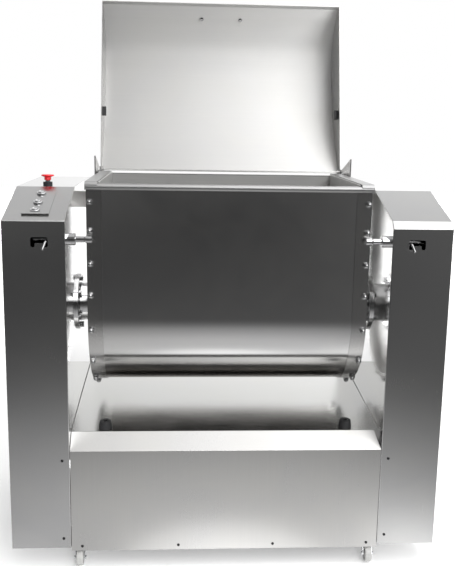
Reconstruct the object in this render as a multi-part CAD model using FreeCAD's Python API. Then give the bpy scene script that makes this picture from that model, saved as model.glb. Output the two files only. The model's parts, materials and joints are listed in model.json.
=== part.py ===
import FreeCAD, Part
import math
import os

V = FreeCAD.Vector

# ---------------------------------------------------------------- driving dimensions (mm)
# Design frame: X across the machine, Y to the back from the cabinets' front face, Z up from
# the surface the castors stand on. Y_SHIFT then moves the origin under the middle of the box.
WIDTH = 1300.0            # over both cabinets
GAP = 943.0               # clear width between the cabinets
SHEET = 2.0               # casing sheet
CAB_BOTTOM = 63.0
CAB_FRONT_TOP = 1065.0    # where the slope starts
CAB_SLOPE_DEPTH = 249.0
CAB_TOP = 1142.0
CAB_DEPTH = 710.0
CHAMFER = 19.5            # front edge of the right cabinet only
BASE_BOTTOM = 52.0
BASE_TOP = 374.0          # top of the front panel
LEDGE_DEPTH = 49.0
LEDGE_TOP = 419.0
REAR_Y = 706.0            # front face of the low rear panel
FLOOR_RISE = 0.082        # the drip floor rises this much per mm to the back
FLOOR_END = 634.0          # rear edge of the drip floor, where the rear panel's ledge begins
PANEL_HALF = 470.0         # half width of the sheets between the cabinets, a narrow gap to each wall
RAIL_BOTTOM = 1035.0      # rail that ties the cabinets together at the back
RAIL_TOP = 1093.0

AXIS_Y = 300.0            # trunnion axis
AXIS_Z = 769.0
SHELL_R = 246.5           # outside of the trough sheet
SHELL_T = 3.0
BAND_T = 3.0
BAND_W = 44.0
TANK_HALF = 416.6
END_PLATE_IN = 378.0
END_PLATE_T = 8.0
RIM_BOTTOM = 1150.0
RIM_TOP = 1175.0
RIM_FRONT = 32.0
RIM_REAR = 568.0
ROLL_R = 9.0               # radius of the rolled edge along the front and rear walls
ROLL_OUT = 21.5            # how far it stands out from the wall
MOUTH_HALF_X = 382.0
MOUTH_FRONT = 57.0
MOUTH_REAR = 543.0

LID_HALF = 422.7
LID_LEN = 597.0
LID_LEAN = 13.65          # degrees behind vertical when open
LID_EDGE_Y = 582.0        # rear inner edge of the lid when open
LID_EDGE_Z = 1179.0
HINGE_Y = 606.0
HINGE_Z = 1172.0
HINGE_PIN_R = 6.0
EAR_IN = 424.0
EAR_OUT = 428.0

HUB_R = 61.0
JOURNAL_R = 45.0
TRUNNION_BORE_R = 32.0
SHAFT_R = 25.0
RUN_CLEAR = 0.05          # radial clearance of the running fits
AGITATOR_R = 203.0        # circle of the mixing bars
BAR_R = 17.0

PIN_Y = 36.0              # tilt lock pins
PIN_Z = 1008.0
PIN_R = 9.0
PIN_TIP = 418.5
PIN_STROKE = 37.0
HANDLE_X = 526.0

CASTOR_X = 446.0
CASTOR_Y = (32.0, 676.0)
CASTOR_TRAIL = 20.0
WHEEL_R = 25.0

CHAIN_PITCH = 15.875
TEETH_BIG = 47
TEETH_SMALL = 17
DRIVE_Z = 265.0

SLOPE = (CAB_TOP - CAB_FRONT_TOP) / CAB_SLOPE_DEPTH
SLOPE_DEG = math.degrees(math.atan(SLOPE))
HALF_W = WIDTH / 2
HALF_G = GAP / 2
Y_SHIFT = -407.123        # puts the origin under the middle of the bounding box

os.makedirs("parts", exist_ok=True)
made = {}


# ---------------------------------------------------------------- helpers
def box(x0, x1, y0, y1, z0, z1):
    x0, x1 = min(x0, x1), max(x0, x1)
    return Part.makeBox(x1 - x0, y1 - y0, z1 - z0, V(x0, y0, z0))


def cyl_x(x0, x1, y, z, r):
    x0, x1 = min(x0, x1), max(x0, x1)
    return Part.makeCylinder(r, x1 - x0, V(x0, y, z), V(1, 0, 0))


def cyl_y(y0, y1, x, z, r):
    return Part.makeCylinder(r, y1 - y0, V(x, y0, z), V(0, 1, 0))


def cyl_z(z0, z1, x, y, r):
    return Part.makeCylinder(r, z1 - z0, V(x, y, z0), V(0, 0, 1))


def tube_x(x0, x1, y, z, ro, ri):
    return cyl_x(x0, x1, y, z, ro).cut(cyl_x(x0, x1, y, z, ri))


def prism_x(yz, x0, x1):
    x0, x1 = min(x0, x1), max(x0, x1)
    wire = Part.makePolygon([V(x0, y, z) for y, z in yz] + [V(x0, yz[0][0], yz[0][1])])
    return Part.Face(wire).extrude(V(x1 - x0, 0, 0))


def face_prism_x(edges, x0, x1):
    x0, x1 = min(x0, x1), max(x0, x1)
    wire = Part.Wire(Part.__sortEdges__(edges))
    wire.translate(V(x0, 0, 0))
    return Part.Face(wire).extrude(V(x1 - x0, 0, 0))


def line(a, b):
    return Part.LineSegment(V(0, *a), V(0, *b)).toShape()


def arc(a, m, b):
    return Part.Arc(V(0, *a), V(0, *m), V(0, *b)).toShape()


def hex_prism(af, h):
    r = af / math.sqrt(3.0)
    pts = [V(r * math.cos(math.radians(60 * i)), r * math.sin(math.radians(60 * i)), 0) for i in range(7)]
    return Part.Face(Part.makePolygon(pts)).extrude(V(0, 0, h))


def place(shape, pos, direction):
    s = shape.copy()
    s.Placement = FreeCAD.Placement(V(*pos), FreeCAD.Rotation(V(0, 0, 1), V(*direction)))
    return s


def turn_x(shape, y, z, deg):
    s = shape.copy()
    s.rotate(V(0, y, z), V(1, 0, 0), deg)
    return s


def mirror(shape):
    return shape.mirror(V(0, 0, 0), V(1, 0, 0))


def both(build):
    left, right = build(-1.0), build(1.0)
    return left, right


def fuse(*shapes):
    s = shapes[0]
    for other in shapes[1:]:
        s = s.fuse(other)
    return s.removeSplitter()


def solids_of(item):
    out = []
    for s in (item if isinstance(item, (list, tuple)) else [item]):
        out += s.Solids
    return out


def node(name, *items):
    """Adds pieces to a named group. The groups are written out at the end."""
    for item in items:
        solids = solids_of(item)
        assert solids and all(s.isValid() for s in solids), name
        made.setdefault(name, []).extend(solids)


def tube_bar(x0, x1, y0, y1, z0, z1, t=2.5):
    """A square tube along its longest side, open at both ends."""
    x0, x1 = min(x0, x1), max(x0, x1)
    o = box(x0, x1, y0, y1, z0, z1)
    d = {"x": x1 - x0, "y": y1 - y0, "z": z1 - z0}
    a = max(d, key=d.get)
    k = {"x": (-1, 1), "y": (-1, 1), "z": (-1, 1)}
    dx, dy, dz = ((0 if a == c else t) for c in "xyz")
    ex, ey, ez = ((1 if a == c else 0) for c in "xyz")
    return o.cut(box(x0 + dx - ex, x1 - dx + ex, y0 + dy - ey, y1 - dy + ey, z0 + dz - ez, z1 - dz + ez))


def slope_frame(shape, x, y):
    """Puts a shape modelled on Z=0 onto the cabinets' slope at depth y, standing square to it."""
    s = shape.copy()
    s.rotate(V(0, 0, 0), V(1, 0, 0), SLOPE_DEG)
    s.translate(V(x, y, CAB_FRONT_TOP + SLOPE * y))
    return s


SLOPE_N = (0.0, -math.sin(math.radians(SLOPE_DEG)), math.cos(math.radians(SLOPE_DEG)))

# ---------------------------------------------------------------- cabinets
BTN_X = -564.5
BTN_Y = (189.0, 122.0, 65.0)
ESTOP_X, ESTOP_Y = -559.5, 285.0


def cabinet(side):
    s, t = side, SHEET
    if s < 0:
        prof = [(0, CAB_BOTTOM), (0, CAB_FRONT_TOP)]
        inner = [(t, CAB_BOTTOM - 1), (t, CAB_FRONT_TOP - 1.6)]
    else:
        zc = CAB_FRONT_TOP + SLOPE * CHAMFER
        prof = [(0, CAB_BOTTOM), (0, zc - CHAMFER), (CHAMFER, zc)]
        inner = [(t, CAB_BOTTOM - 1), (t, zc - CHAMFER - 0.9), (CHAMFER + 0.9, zc - t)]
    prof += [(CAB_SLOPE_DEPTH, CAB_TOP), (CAB_DEPTH, CAB_TOP), (CAB_DEPTH, CAB_BOTTOM)]
    inner += [(CAB_SLOPE_DEPTH + 0.3, CAB_TOP - t), (CAB_DEPTH + 1, CAB_TOP - t), (CAB_DEPTH + 1, CAB_BOTTOM - 1)]
    shell = prism_x(prof, s * HALF_G, s * HALF_W).cut(prism_x(inner, s * (HALF_G + t), s * (HALF_W - t)))
    # opening for the trunnion bearing and for the lock pin sleeve
    shell = shell.cut(cyl_x(s * (HALF_G - 1), s * (HALF_G + 4), AXIS_Y, AXIS_Z, 65.5))
    shell = shell.cut(cyl_x(s * (HALF_G - 1), s * (HALF_G + 4), PIN_Y, PIN_Z, 13.0))
    # two-legged slot for the lock handle in the front face
    slot = box(s * 520, s * 569, -1, 4, 1001, 1018)
    slot = slot.fuse(box(s * 520, s * 532, -1, 4, 989, 1002)).fuse(box(s * 557, s * 569, -1, 4, 989, 1002))
    shell = shell.cut(slot.removeSplitter())
    if s < 0:
        for y in BTN_Y:
            shell = shell.cut(slope_frame(Part.makeCylinder(11.2, 20, V(0, 0, -10)), BTN_X, y))
        shell = shell.cut(cyl_z(CAB_TOP - 5, CAB_TOP + 5, ESTOP_X, ESTOP_Y, 11.2))
    return shell


node("left_cabinet_shell", cabinet(-1))
node("right_cabinet_shell", cabinet(1))


def rear_cover(side):
    c = box(side * (HALF_G + 2.5), side * (HALF_W - 2.5), 706.0, 708.0, 66.0, CAB_TOP - 2.5)
    # louvre slots for the drive's cooling air
    for i in range(7):
        z = 330.0 + 22.0 * i
        c = c.cut(box(side * (HALF_G + 45), side * (HALF_W - 45), 705.0, 709.0, z, z + 6.0))
    if side < 0:
        c = c.cut(cyl_y(705.0, 709.0, -600.0, 180.0, 12.0))
    return c


node("cabinet_covers", rear_cover(-1), rear_cover(1), [box(s * (HALF_G + 2.0), s * (HALF_W - 2.0), 2.0, 706.0, CAB_BOTTOM, CAB_BOTTOM + 2.0) for s in (-1, 1)])


# welded square-tube frames inside the cabinets
def cabinet_frame(side):
    xi, xo = HALF_G + 2.0, HALF_W - 2.0
    bars = []
    for a, b in ((xi, xi + 30.0), (xo - 30.0, xo)):
        bars.append(tube_bar(side * a, side * b, 2.0, 32.0, 95.0, 960.0))
        bars.append(tube_bar(side * a, side * b, 674.0, 704.0, 95.0, 1100.0))
        bars.append(tube_bar(side * a, side * b, 2.0, 704.0, 65.0, 95.0))
    for z in (655.0, 853.0):
        bars.append(tube_bar(side * xi, side * (xi + 30.0), 32.0, 674.0, z, z + 30.0))
    if side < 0:
        for y in (205.0, 565.0):
            bars.append(tube_bar(side * (xi + 30.0), side * (xo - 30.0), y, y + 30.0, 65.0, 95.0))
    return bars


node("cabinet_frames", cabinet_frame(-1), cabinet_frame(1))
# folded plate that carries the gear motor, on the left frame's two cross bars
node("cabinet_frames", fuse(box(-617.0, -504.5, 205.0, 600.0, 175.0, 183.0), box(-617.0, -609.0, 205.0, 595.0, 95.0, 175.0), box(-512.5, -504.5, 205.0, 595.0, 95.0, 175.0)))

# ---------------------------------------------------------------- base between the cabinets
floor_z = lambda y: LEDGE_TOP + FLOOR_RISE * (y - LEDGE_DEPTH)
k = SHEET / math.sin(math.radians(45))
front = prism_x(
    [(0, BASE_BOTTOM), (0, BASE_TOP), (LEDGE_DEPTH, LEDGE_TOP), (LEDGE_DEPTH, LEDGE_TOP - 2.9),
     (SHEET, BASE_TOP - 1.0), (SHEET, BASE_BOTTOM + SHEET), (8, BASE_BOTTOM + SHEET), (8, BASE_BOTTOM)],
    -PANEL_HALF, PANEL_HALF)
# the ledge's right end is trimmed back towards the floor panel
trim = Part.Face(Part.makePolygon([V(HALF_G + 1, -1, 0), V(HALF_G + 1, 60, 0), V(HALF_G - 13.5, 60, 0), V(HALF_G, -1, 0), V(HALF_G + 1, -1, 0)]))
front = front.cut(trim.extrude(V(0, 0, 600)).common(box(0, 600, 0.5, 80, BASE_TOP + 1.0, 600)))
node("base_front_panel", front)
floor = prism_x(
    [(LEDGE_DEPTH + 0.1, LEDGE_TOP), (FLOOR_END, floor_z(FLOOR_END)), (FLOOR_END, floor_z(FLOOR_END) - SHEET), (LEDGE_DEPTH + 0.1, LEDGE_TOP - SHEET)],
    -PANEL_HALF, PANEL_HALF)
for s in (-1, 1):
    floor = floor.cut(cyl_z(400.0, 440.0, s * 370.0, 74.0, 4.0))
node("floor_panel", floor)
# the machine is open at the back above the drip floor, under a rail that ties the cabinets together
ry, rz = REAR_Y + SHEET, floor_z(FLOOR_END)
rise = ry - (FLOOR_END + 0.2)
node("rear_panel", prism_x(
    [(ry, BASE_BOTTOM), (ry, rz - rise), (FLOOR_END + 0.2, rz), (FLOOR_END + 0.2, rz - 2.9), (REAR_Y, rz - rise - 0.9),
     (REAR_Y, BASE_BOTTOM + SHEET), (REAR_Y - 8.0, BASE_BOTTOM + SHEET), (REAR_Y - 8.0, BASE_BOTTOM)],
    -PANEL_HALF, PANEL_HALF))
node("rear_rail", tube_bar(-HALF_G, HALF_G, 678.0, 708.0, RAIL_BOTTOM, RAIL_TOP, 3.0))

base_bars = []
for y in (16.0, 662.0):
    base_bars.append(tube_bar(-HALF_G, HALF_G, y, y + 40.0, 66.0, 106.0, 3.0))
for x in (-451.5, -20.0, 411.5):
    base_bars.append(tube_bar(x, x + 40.0, 56.0, 662.0, 66.0, 106.0, 3.0))
for x in (-451.5, 411.5):
    base_bars.append(tube_bar(x, x + 40.0, 62.0, 102.0, 106.0, 380.0, 3.0))
    base_bars.append(tube_bar(x, x + 40.0, 655.0, 695.0, 106.0, 350.0, 3.0))
base_bars.append(tube_bar(-451.5, 451.5, 62.0, 102.0, 380.0, 410.0, 3.0))
base_bars.append(tube_bar(-451.5, 451.5, 655.0, 695.0, 350.0, 380.0, 3.0))
node("base_frame", base_bars)

# rubber landing buffers for the tipped tank, with their bolts
buffers, buffer_bolts = [], []
for s in (-1, 1):
    b = Part.makeCone(20.0, 17.0, 24.0).cut(Part.makeCylinder(6.0, 10.0, V(0, 0, 14)))
    c = fuse(Part.makeCylinder(5.0, 5.0, V(0, 0, 14)), Part.makeCylinder(3.0, 20.0, V(0, 0, -6)))
    b = b.cut(Part.makeCylinder(3.0, 30.0, V(0, 0, -6)))
    for lst, shp in ((buffers, b), (buffer_bolts, c)):
        q = shp.copy()
        q.rotate(V(0, 0, 0), V(1, 0, 0), math.degrees(math.atan(FLOOR_RISE)))
        q.translate(V(s * 370.0, 74.0, floor_z(74.0)))
        lst.append(q)
node("tank_buffers", buffers)
node("panel_screws", buffer_bolts)

# ---------------------------------------------------------------- screws
pan = fuse(Part.makeCylinder(4.2, 1.6), Part.makeCone(4.2, 2.6, 1.0, V(0, 0, 1.6)))
socket = hex_prism(3.0, 2.0)
socket.translate(V(0, 0, 1.3))
pan = pan.cut(socket)
front_screws = [place(pan, (x, 0, 68.0), (0, -1, 0)) for x in (-438, -145.5, 145.5, 438)]
front_screws += [place(pan, (s * 493.5, 0, z), (0, -1, 0)) for s in (-1, 1) for z in (94.0, 345.0)]
node("panel_screws", front_screws)
rear_screws = [place(pan, (s * x, 708.0, z), (0, 1, 0)) for s in (-1, 1) for x in (482.0, 639.0) for z in (90.0, 600.0, 1110.0)]
rear_screws += [place(pan, (x, 708.0, z), (0, 1, 0)) for x in (-440, -147, 147, 440) for z in (80.0, 360.0)]
node("panel_screws", rear_screws)

# ---------------------------------------------------------------- castors
# top plates welded under the base frame, each bored for its fork's kingpin
node("base_frame", [
    fuse(box(s * CASTOR_X - 25, s * CASTOR_X + 25, y - 25, y + 25, 63.0, 66.0), cyl_z(58.5, 63.0, s * CASTOR_X, y, 15.0)).cut(cyl_z(58.0, 65.0, s * CASTOR_X, y, 5.0 + RUN_CLEAR))
    for s in (-1, 1) for y in CASTOR_Y])


def castor(x, y, trail):
    """Fork with its axle bolt, and the wheel, trailing along Y."""
    wy = y + trail
    d = 1 if trail > 0 else -1
    top = cyl_z(54.5, 58.0, x, y, 16.0)
    legs = []
    for s in (-1, 1):
        xa = x + s * 12.0
        xb = x + s * 14.5
        prof = [(y - d * 13, 57.0), (y + d * 13, 57.0), (y + d * 15, 50.0), (wy + d * 7.5, 25.0), (wy + d * 4.0, 18.5), (wy - d * 4.0, 18.5), (wy - d * 7.5, 25.0), (y - d * 14, 48.0)]
        legs.append(prism_x(prof, xa, xb))
    bridge = box(x - 14.5, x + 14.5, y - 12.0, y + 12.0, 53.5, 57.0)
    fork = fuse(top, bridge, legs[0], legs[1], cyl_z(57.0, 64.6, x, y, 5.0))
    # the wheel turns inside the fork
    fork = fork.cut(cyl_x(x - 11.9, x + 11.9, wy, WHEEL_R, WHEEL_R + 1.2))
    fork = fork.cut(cyl_x(x - 30, x + 30, wy, WHEEL_R, 4.0))
    axle = fuse(cyl_x(x - 14.5, x + 14.5, wy, WHEEL_R, 4.0), place(hex_prism(11.0, 4.0), (x + 14.5, wy, WHEEL_R), (1, 0, 0)), place(hex_prism(11.0, 4.0), (x - 14.5, wy, WHEEL_R), (-1, 0, 0)))
    wheel = cyl_x(x - 10.0, x + 10.0, wy, WHEEL_R, WHEEL_R)
    for s in (-1, 1):
        wheel = wheel.cut(tube_x(x + s * 7.0, x + s * 10.5, wy, WHEEL_R, 18.0, 9.0))
    wheel = wheel.cut(cyl_x(x - 12, x + 12, wy, WHEEL_R, 4.0 + RUN_CLEAR))
    return fork, axle, wheel


castors = (("front_left", -CASTOR_X, CASTOR_Y[0], -CASTOR_TRAIL), ("front_right", CASTOR_X, CASTOR_Y[0], -CASTOR_TRAIL),
           ("rear_left", -CASTOR_X, CASTOR_Y[1], -CASTOR_TRAIL), ("rear_right", CASTOR_X, CASTOR_Y[1], -CASTOR_TRAIL))
for tag, x, y, trail in castors:
    fork, axle, wheel = castor(x, y, trail)
    node("castor_fork_" + tag, [fork, axle])
    node("castor_wheel_" + tag, wheel)

# ---------------------------------------------------------------- bearings in the cabinet walls
hex_bolt = fuse(Part.makeCylinder(10.0, 1.5), hex_prism(17.0, 7.9))


def ring_of(shape, x, s, pcd, n, phase=0.0, y=AXIS_Y, z=AXIS_Z):
    out = []
    for i in range(n):
        a = math.radians(phase + 360.0 * i / n)
        out.append(place(shape, (x, y + pcd / 2 * math.cos(a), z + pcd / 2 * math.sin(a)), (s, 0, 0)))
    return out


def housing(side):
    s = side
    h = fuse(cyl_x(s * 463.5, s * HALF_G, AXIS_Y, AXIS_Z, 90.0), cyl_x(s * HALF_G, s * 506.0, AXIS_Y, AXIS_Z, 65.0))
    return h.cut(cyl_x(s * 460.0, s * 510.0, AXIS_Y, AXIS_Z, 52.0))


node("bearing_housings", housing(-1), housing(1))
node("housing_bolts", [b for s in (-1, 1) for b in ring_of(hex_bolt, s * 463.5, -s, 154.0, 6, 30.0)])
node("bearing_housings", [tube_x(s * (HALF_G + SHEET), s * (HALF_G + SHEET + 8.0), AXIS_Y, AXIS_Z, 83.0, 65.2) for s in (-1, 1)])
node("trunnion_bushes", [tube_x(s * 464.0, s * 506.0, AXIS_Y, AXIS_Z, 52.0, JOURNAL_R + RUN_CLEAR) for s in (-1, 1)])


# ---------------------------------------------------------------- tank
def u_band(ro, ri, x0, x1, top):
    ay, az = AXIS_Y, AXIS_Z
    e = [line((ay - ro, top), (ay - ro, az)), arc((ay - ro, az), (ay, az - ro), (ay + ro, az)), line((ay + ro, az), (ay + ro, top)),
         line((ay + ro, top), (ay + ri, top)), line((ay + ri, top), (ay + ri, az)), arc((ay + ri, az), (ay, az - ri), (ay - ri, az)),
         line((ay - ri, az), (ay - ri, top)), line((ay - ri, top), (ay - ro, top))]
    return face_prism_x(e, x0, x1)


def u_plate(r, x0, x1, top):
    ay, az = AXIS_Y, AXIS_Z
    e = [line((ay - r, top), (ay - r, az)), arc((ay - r, az), (ay, az - r), (ay + r, az)), line((ay + r, az), (ay + r, top)), line((ay + r, top), (ay - r, top))]
    return face_prism_x(e, x0, x1)


RI = SHELL_R - SHELL_T
node("tank_shell", u_band(SHELL_R, RI, -TANK_HALF, TANK_HALF, RIM_BOTTOM + 2.0 * ROLL_R - 3.0))
node("end_bands", u_band(SHELL_R + BAND_T, SHELL_R, -TANK_HALF, -(TANK_HALF - BAND_W), RIM_BOTTOM))
node("end_bands", u_band(SHELL_R + BAND_T, SHELL_R, TANK_HALF, TANK_HALF - BAND_W, RIM_BOTTOM))


def tank_end(side):
    s = side
    plate = u_plate(RI, s * END_PLATE_IN, s * (END_PLATE_IN + END_PLATE_T), RIM_TOP - 3.0)
    ring = u_band(RI, RI - 8.0, s * (END_PLATE_IN + END_PLATE_T), s * TANK_HALF, RIM_TOP - 3.0)
    bar = box(s * (END_PLATE_IN + END_PLATE_T), s * TANK_HALF, AXIS_Y - RI + 8.0, AXIS_Y + RI - 8.0, RIM_BOTTOM - 22.0, RIM_TOP - 3.0)
    e = fuse(plate, ring, bar)
    return e.cut(cyl_x(s * (END_PLATE_IN - 1), s * (END_PLATE_IN + 20), AXIS_Y, AXIS_Z, 45.0))


node("tank_ends", tank_end(-1), tank_end(1))

# rim round the mouth: a rolled edge along the front and rear walls, flat flanges with skirts over the ends
rim = []


def rolled_edge(y0, d):
    """A rolled edge along X on a wall whose outer face is at y0; d points from the wall outwards."""
    cy, cz, r, t = y0 + d * (ROLL_OUT - ROLL_R), RIM_BOTTOM + ROLL_R, ROLL_R, 2.0
    full = fuse(cyl_x(-TANK_HALF, TANK_HALF, cy, cz, r), box(-TANK_HALF, TANK_HALF, min(cy, y0), max(cy, y0), cz - r, cz + r))
    void = fuse(cyl_x(-TANK_HALF - 1, TANK_HALF + 1, cy, cz, r - t), box(-TANK_HALF - 1, TANK_HALF + 1, min(cy, y0), max(cy, y0), cz - r + t, cz + r - t))
    lip = box(-TANK_HALF, TANK_HALF, min(y0, y0 - d * SHELL_T), max(y0, y0 - d * SHELL_T), cz + r - 3.0, cz + r)
    return full, fuse(full.cut(void), lip)


for y0, d, ye in ((AXIS_Y - SHELL_R, -1, RIM_FRONT), (AXIS_Y + SHELL_R, 1, RIM_REAR)):
    full, edge = rolled_edge(y0, d)
    rim.append(edge)
    for s in (-1, 1):
        shut = box(s * MOUTH_HALF_X, s * TANK_HALF, min(ye, ye - d * 2.0), max(ye, ye - d * 2.0), RIM_BOTTOM + ROLL_R, RIM_TOP - 3.0)
        rim.append(shut.cut(full))
for s in (-1, 1):
    top = box(s * MOUTH_HALF_X, s * 418.6, RIM_FRONT, RIM_REAR, RIM_TOP - 3.0, RIM_TOP)
    skirt = box(s * TANK_HALF, s * 418.6, RIM_FRONT, RIM_REAR, RIM_BOTTOM, RIM_TOP - 3.0)
    rim.append(fuse(top, skirt))
node("tank_rim", rim)

# dome nuts on studs along the end bands
nut = hex_prism(16.0, 7.5)
nut.translate(V(0, 0, 1.5))
dome = fuse(Part.makeCylinder(9.5, 1.5), nut, Part.makeSphere(7.6, V(0, 0, 8.6)).common(Part.makeCylinder(9.0, 12.0, V(0, 0, 1.5))))
STUDS = (346.0, 262.0, 165.0, 71.0, -34.0, -144.0, -253.0, -350.0)


def stud_places(side):
    out, rb = [], SHELL_R + BAND_T
    for s in STUDS:
        for back in (1.0, -1.0):
            if s >= 0:
                y, z, n = -rb, s, (0.0, -1.0, 0.0)
            else:
                a = -s / rb
                y, z, n = -rb * math.cos(a), -rb * math.sin(a), (0.0, -math.cos(a), -math.sin(a))
            out.append(((side * 406.7, AXIS_Y + back * y, AXIS_Z + z), (0.0, back * n[1], n[2])))
    return out


for s in (-1, 1):
    node("tank_bolts", [place(dome, p, n) for p, n in stud_places(s)])


def trunnion(side):
    s = side
    t = fuse(cyl_x(s * 386.0, s * 398.0, AXIS_Y, AXIS_Z, 95.0), cyl_x(s * 398.0, s * 462.5, AXIS_Y, AXIS_Z, HUB_R), cyl_x(s * 462.5, s * 522.0, AXIS_Y, AXIS_Z, JOURNAL_R))
    return t.cut(cyl_x(s * 380.0, s * 530.0, AXIS_Y, AXIS_Z, TRUNNION_BORE_R))


node("trunnions", trunnion(-1), trunnion(1))
node("tank_bolts", [b for s in (-1, 1) for b in ring_of(hex_bolt, s * 398.0, s, 156.0, 6, 0.0)])
node("trunnions", [tube_x(s * 508.0, s * 520.0, AXIS_Y, AXIS_Z, 60.0, JOURNAL_R) for s in (-1, 1)])
node("shaft_bushes", [tube_x(s * a, s * b, AXIS_Y, AXIS_Z, TRUNNION_BORE_R, SHAFT_R + RUN_CLEAR) for s in (-1, 1) for a, b in ((388.0, 418.0), (492.0, 522.0))])
node("shaft_seals", [tube_x(s * 370.0, s * 386.0, AXIS_Y, AXIS_Z, 45.0, SHAFT_R + 0.08) for s in (-1, 1)])


# keepers for the lock pins on the front of the end bands
def keeper(side):
    s = side
    k = fuse(cyl_x(s * 400.0, s * 417.5, PIN_Y, PIN_Z, 11.0), box(s * 400.0, s * 416.6, PIN_Y + 6.0, AXIS_Y - SHELL_R - BAND_T, PIN_Z - 6.0, PIN_Z + 6.0))
    return k.cut(cyl_x(s * 399.0, s * 419.0, PIN_Y, PIN_Z, PIN_R + 0.3))


node("lock_keepers", [keeper(-1), keeper(1)])

# hinge ears outside the mouth, their pins, and the stop pins that hold the lid open
EAR = [(426.0, 1128.0), (426.0, 1231.0), (568.0, 1187.0), (616.0, 1187.0), (622.0, 1181.0), (622.0, 1136.0), (612.0, 1128.0)]
ears = []
for s in (-1, 1):
    plate = prism_x(EAR, s * EAR_IN, s * EAR_OUT)
    spacer = box(s * TANK_HALF, s * EAR_IN, 430.0, 535.0, 1129.0, 1145.0)
    ears.append(fuse(plate, spacer).cut(cyl_x(s * 420.0, s * 430.0, HINGE_Y, HINGE_Z, HINGE_PIN_R)))
node("hinge_ears", ears)
STOP_Y, STOP_Z = 594.6, 1148.0
node("hinge_pins", [fuse(cyl_x(s * 413.0, s * 432.0, HINGE_Y, HINGE_Z, HINGE_PIN_R), cyl_x(s * 428.0, s * 434.0, HINGE_Y, HINGE_Z, 10.0)) for s in (-1, 1)])
node("hinge_pins", [cyl_x(s * 420.9, s * EAR_IN, STOP_Y, STOP_Z, 5.0) for s in (-1, 1)])

# ---------------------------------------------------------------- lid (drawn open)
LR = math.radians(LID_LEAN)
LU = (math.sin(LR), math.cos(LR))     # along the lid, from its hinged edge to its free edge
LN = (math.cos(LR), -math.sin(LR))    # out of the vault, to the back when open


def lid_pt(s, n):
    return (LID_EDGE_Y + s * LU[0] + n * LN[0], LID_EDGE_Z + s * LU[1] + n * LN[1])


OUTER = [(0, 27), (70, 70), (150, 110), (250, 143), (340, 157), (420, 158), (490, 142), (545, 98), (580, 52), (597, 27)]


def spline(points):
    b = Part.BSplineCurve()
    b.interpolate([V(0, *lid_pt(s, n)) for s, n in points])
    return b


def offset_points(points, t):
    """Points t inside the interpolated vault curve, on its normals."""
    b = Part.BSplineCurve()
    b.interpolate([V(0, s, n) for s, n in points])
    out = []
    m = 28
    for i in range(m + 1):
        u = b.FirstParameter + (b.LastParameter - b.FirstParameter) * i / m
        p, d = b.value(u), b.tangent(u)[0]
        out.append((p.y + d.z * t, p.z - d.y * t))
    return out


dense = offset_points(OUTER, 0.0)
inner = offset_points(OUTER, SHEET)
inner = [(max(s, SHEET), n) for s, n in inner]
inner = [(min(s, LID_LEN - SHEET), n) for s, n in inner]
inner[0] = (SHEET, 24.0)
inner[-1] = (LID_LEN - SHEET, 24.0)
inner = [p for i, p in enumerate(inner) if i == 0 or p[0] > inner[i - 1][0] + 1.0 or i == len(inner) - 1]
OUTER_IN = spline(inner)


def lid_outline(extra=None):
    pts = [line(lid_pt(0, 0), lid_pt(0, 27)), spline(OUTER).toShape(), line(lid_pt(LID_LEN, 27), lid_pt(LID_LEN, 0)), line(lid_pt(LID_LEN, 0), lid_pt(0, 0))]
    return pts


vault_edges = [line(lid_pt(0, 0), lid_pt(0, 27)), spline(OUTER).toShape(), line(lid_pt(LID_LEN, 27), lid_pt(LID_LEN, 0)),
               line(lid_pt(LID_LEN, 0), lid_pt(LID_LEN - SHEET, 0)), line(lid_pt(LID_LEN - SHEET, 0), lid_pt(*inner[-1])), OUTER_IN.toShape(),
               line(lid_pt(*inner[0]), lid_pt(SHEET, 0)), line(lid_pt(SHEET, 0), lid_pt(0, 0))]
END_T = 2.0
vault = face_prism_x(vault_edges, -(LID_HALF - END_T), LID_HALF - END_T)
for s in (-1, 1):
    vault = vault.cut(cyl_x(s * 410.0, s * 430.0, HINGE_Y, HINGE_Z, 14.0))
node("lid_vault", vault)


def lid_end(side):
    s = side
    x0, x1 = s * (LID_HALF - END_T), s * LID_HALF
    e = fuse(face_prism_x(lid_outline(), x0, x1), cyl_x(x0, x1, HINGE_Y, HINGE_Z, 14.0), box(x0, x1, HINGE_Y - 6.0, HINGE_Y + 6.0, HINGE_Z - 31.0, HINGE_Z))
    # notch that clears the stop pin when the lid is shut
    notch = prism_x([lid_pt(a, b) for a, b in ((-2, -2), (17.5, -2), (17.5, 5), (12, 8.5), (-2, 8.5))], s * 418.0, s * 425.0)
    return e.cut(notch).cut(cyl_x(s * 400.0, s * 430.0, HINGE_Y, HINGE_Z, HINGE_PIN_R + RUN_CLEAR))


node("lid_ends", lid_end(-1), lid_end(1))
node("lid_ends", [tube_x(s * 412.7, s * (LID_HALF - END_T), HINGE_Y, HINGE_Z, 14.0, HINGE_PIN_R + RUN_CLEAR) for s in (-1, 1)])
# rubber rests inside the lid's ends, which sit on the rim when the lid is shut
rests = []
for s in (-1, 1):
    p = [lid_pt(198, 28.8), lid_pt(228, 28.8), lid_pt(228, 42), lid_pt(198, 42)]
    rests.append(prism_x(p, s * 408.0, s * (LID_HALF - END_T)))
node("lid_rests", rests)

# handle across the free edge, outside, with its two bolts showing inside
HS, HN = 566.0, 71.6
b = Part.BSplineCurve()
b.interpolate([V(0, s, n) for s, n in OUTER])
best = min((b.value(b.FirstParameter + (b.LastParameter - b.FirstParameter) * i / 400.0) for i in range(401)), key=lambda q: abs(q.y - HS))
par = b.parameter(best)
tan = b.tangent(par)[0]
hn = (-tan.z, tan.y)                   # outward normal in lid axes (along, out)
foot = (best.y, best.z)
out3 = (0.0, hn[0] * LU[0] + hn[1] * LN[0], hn[0] * LU[1] + hn[1] * LN[1])
foot3 = V(0, *lid_pt(*foot))
o = V(*out3)


def along(x, d):
    return foot3 + o * d + V(x, 0, 0)


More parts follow.
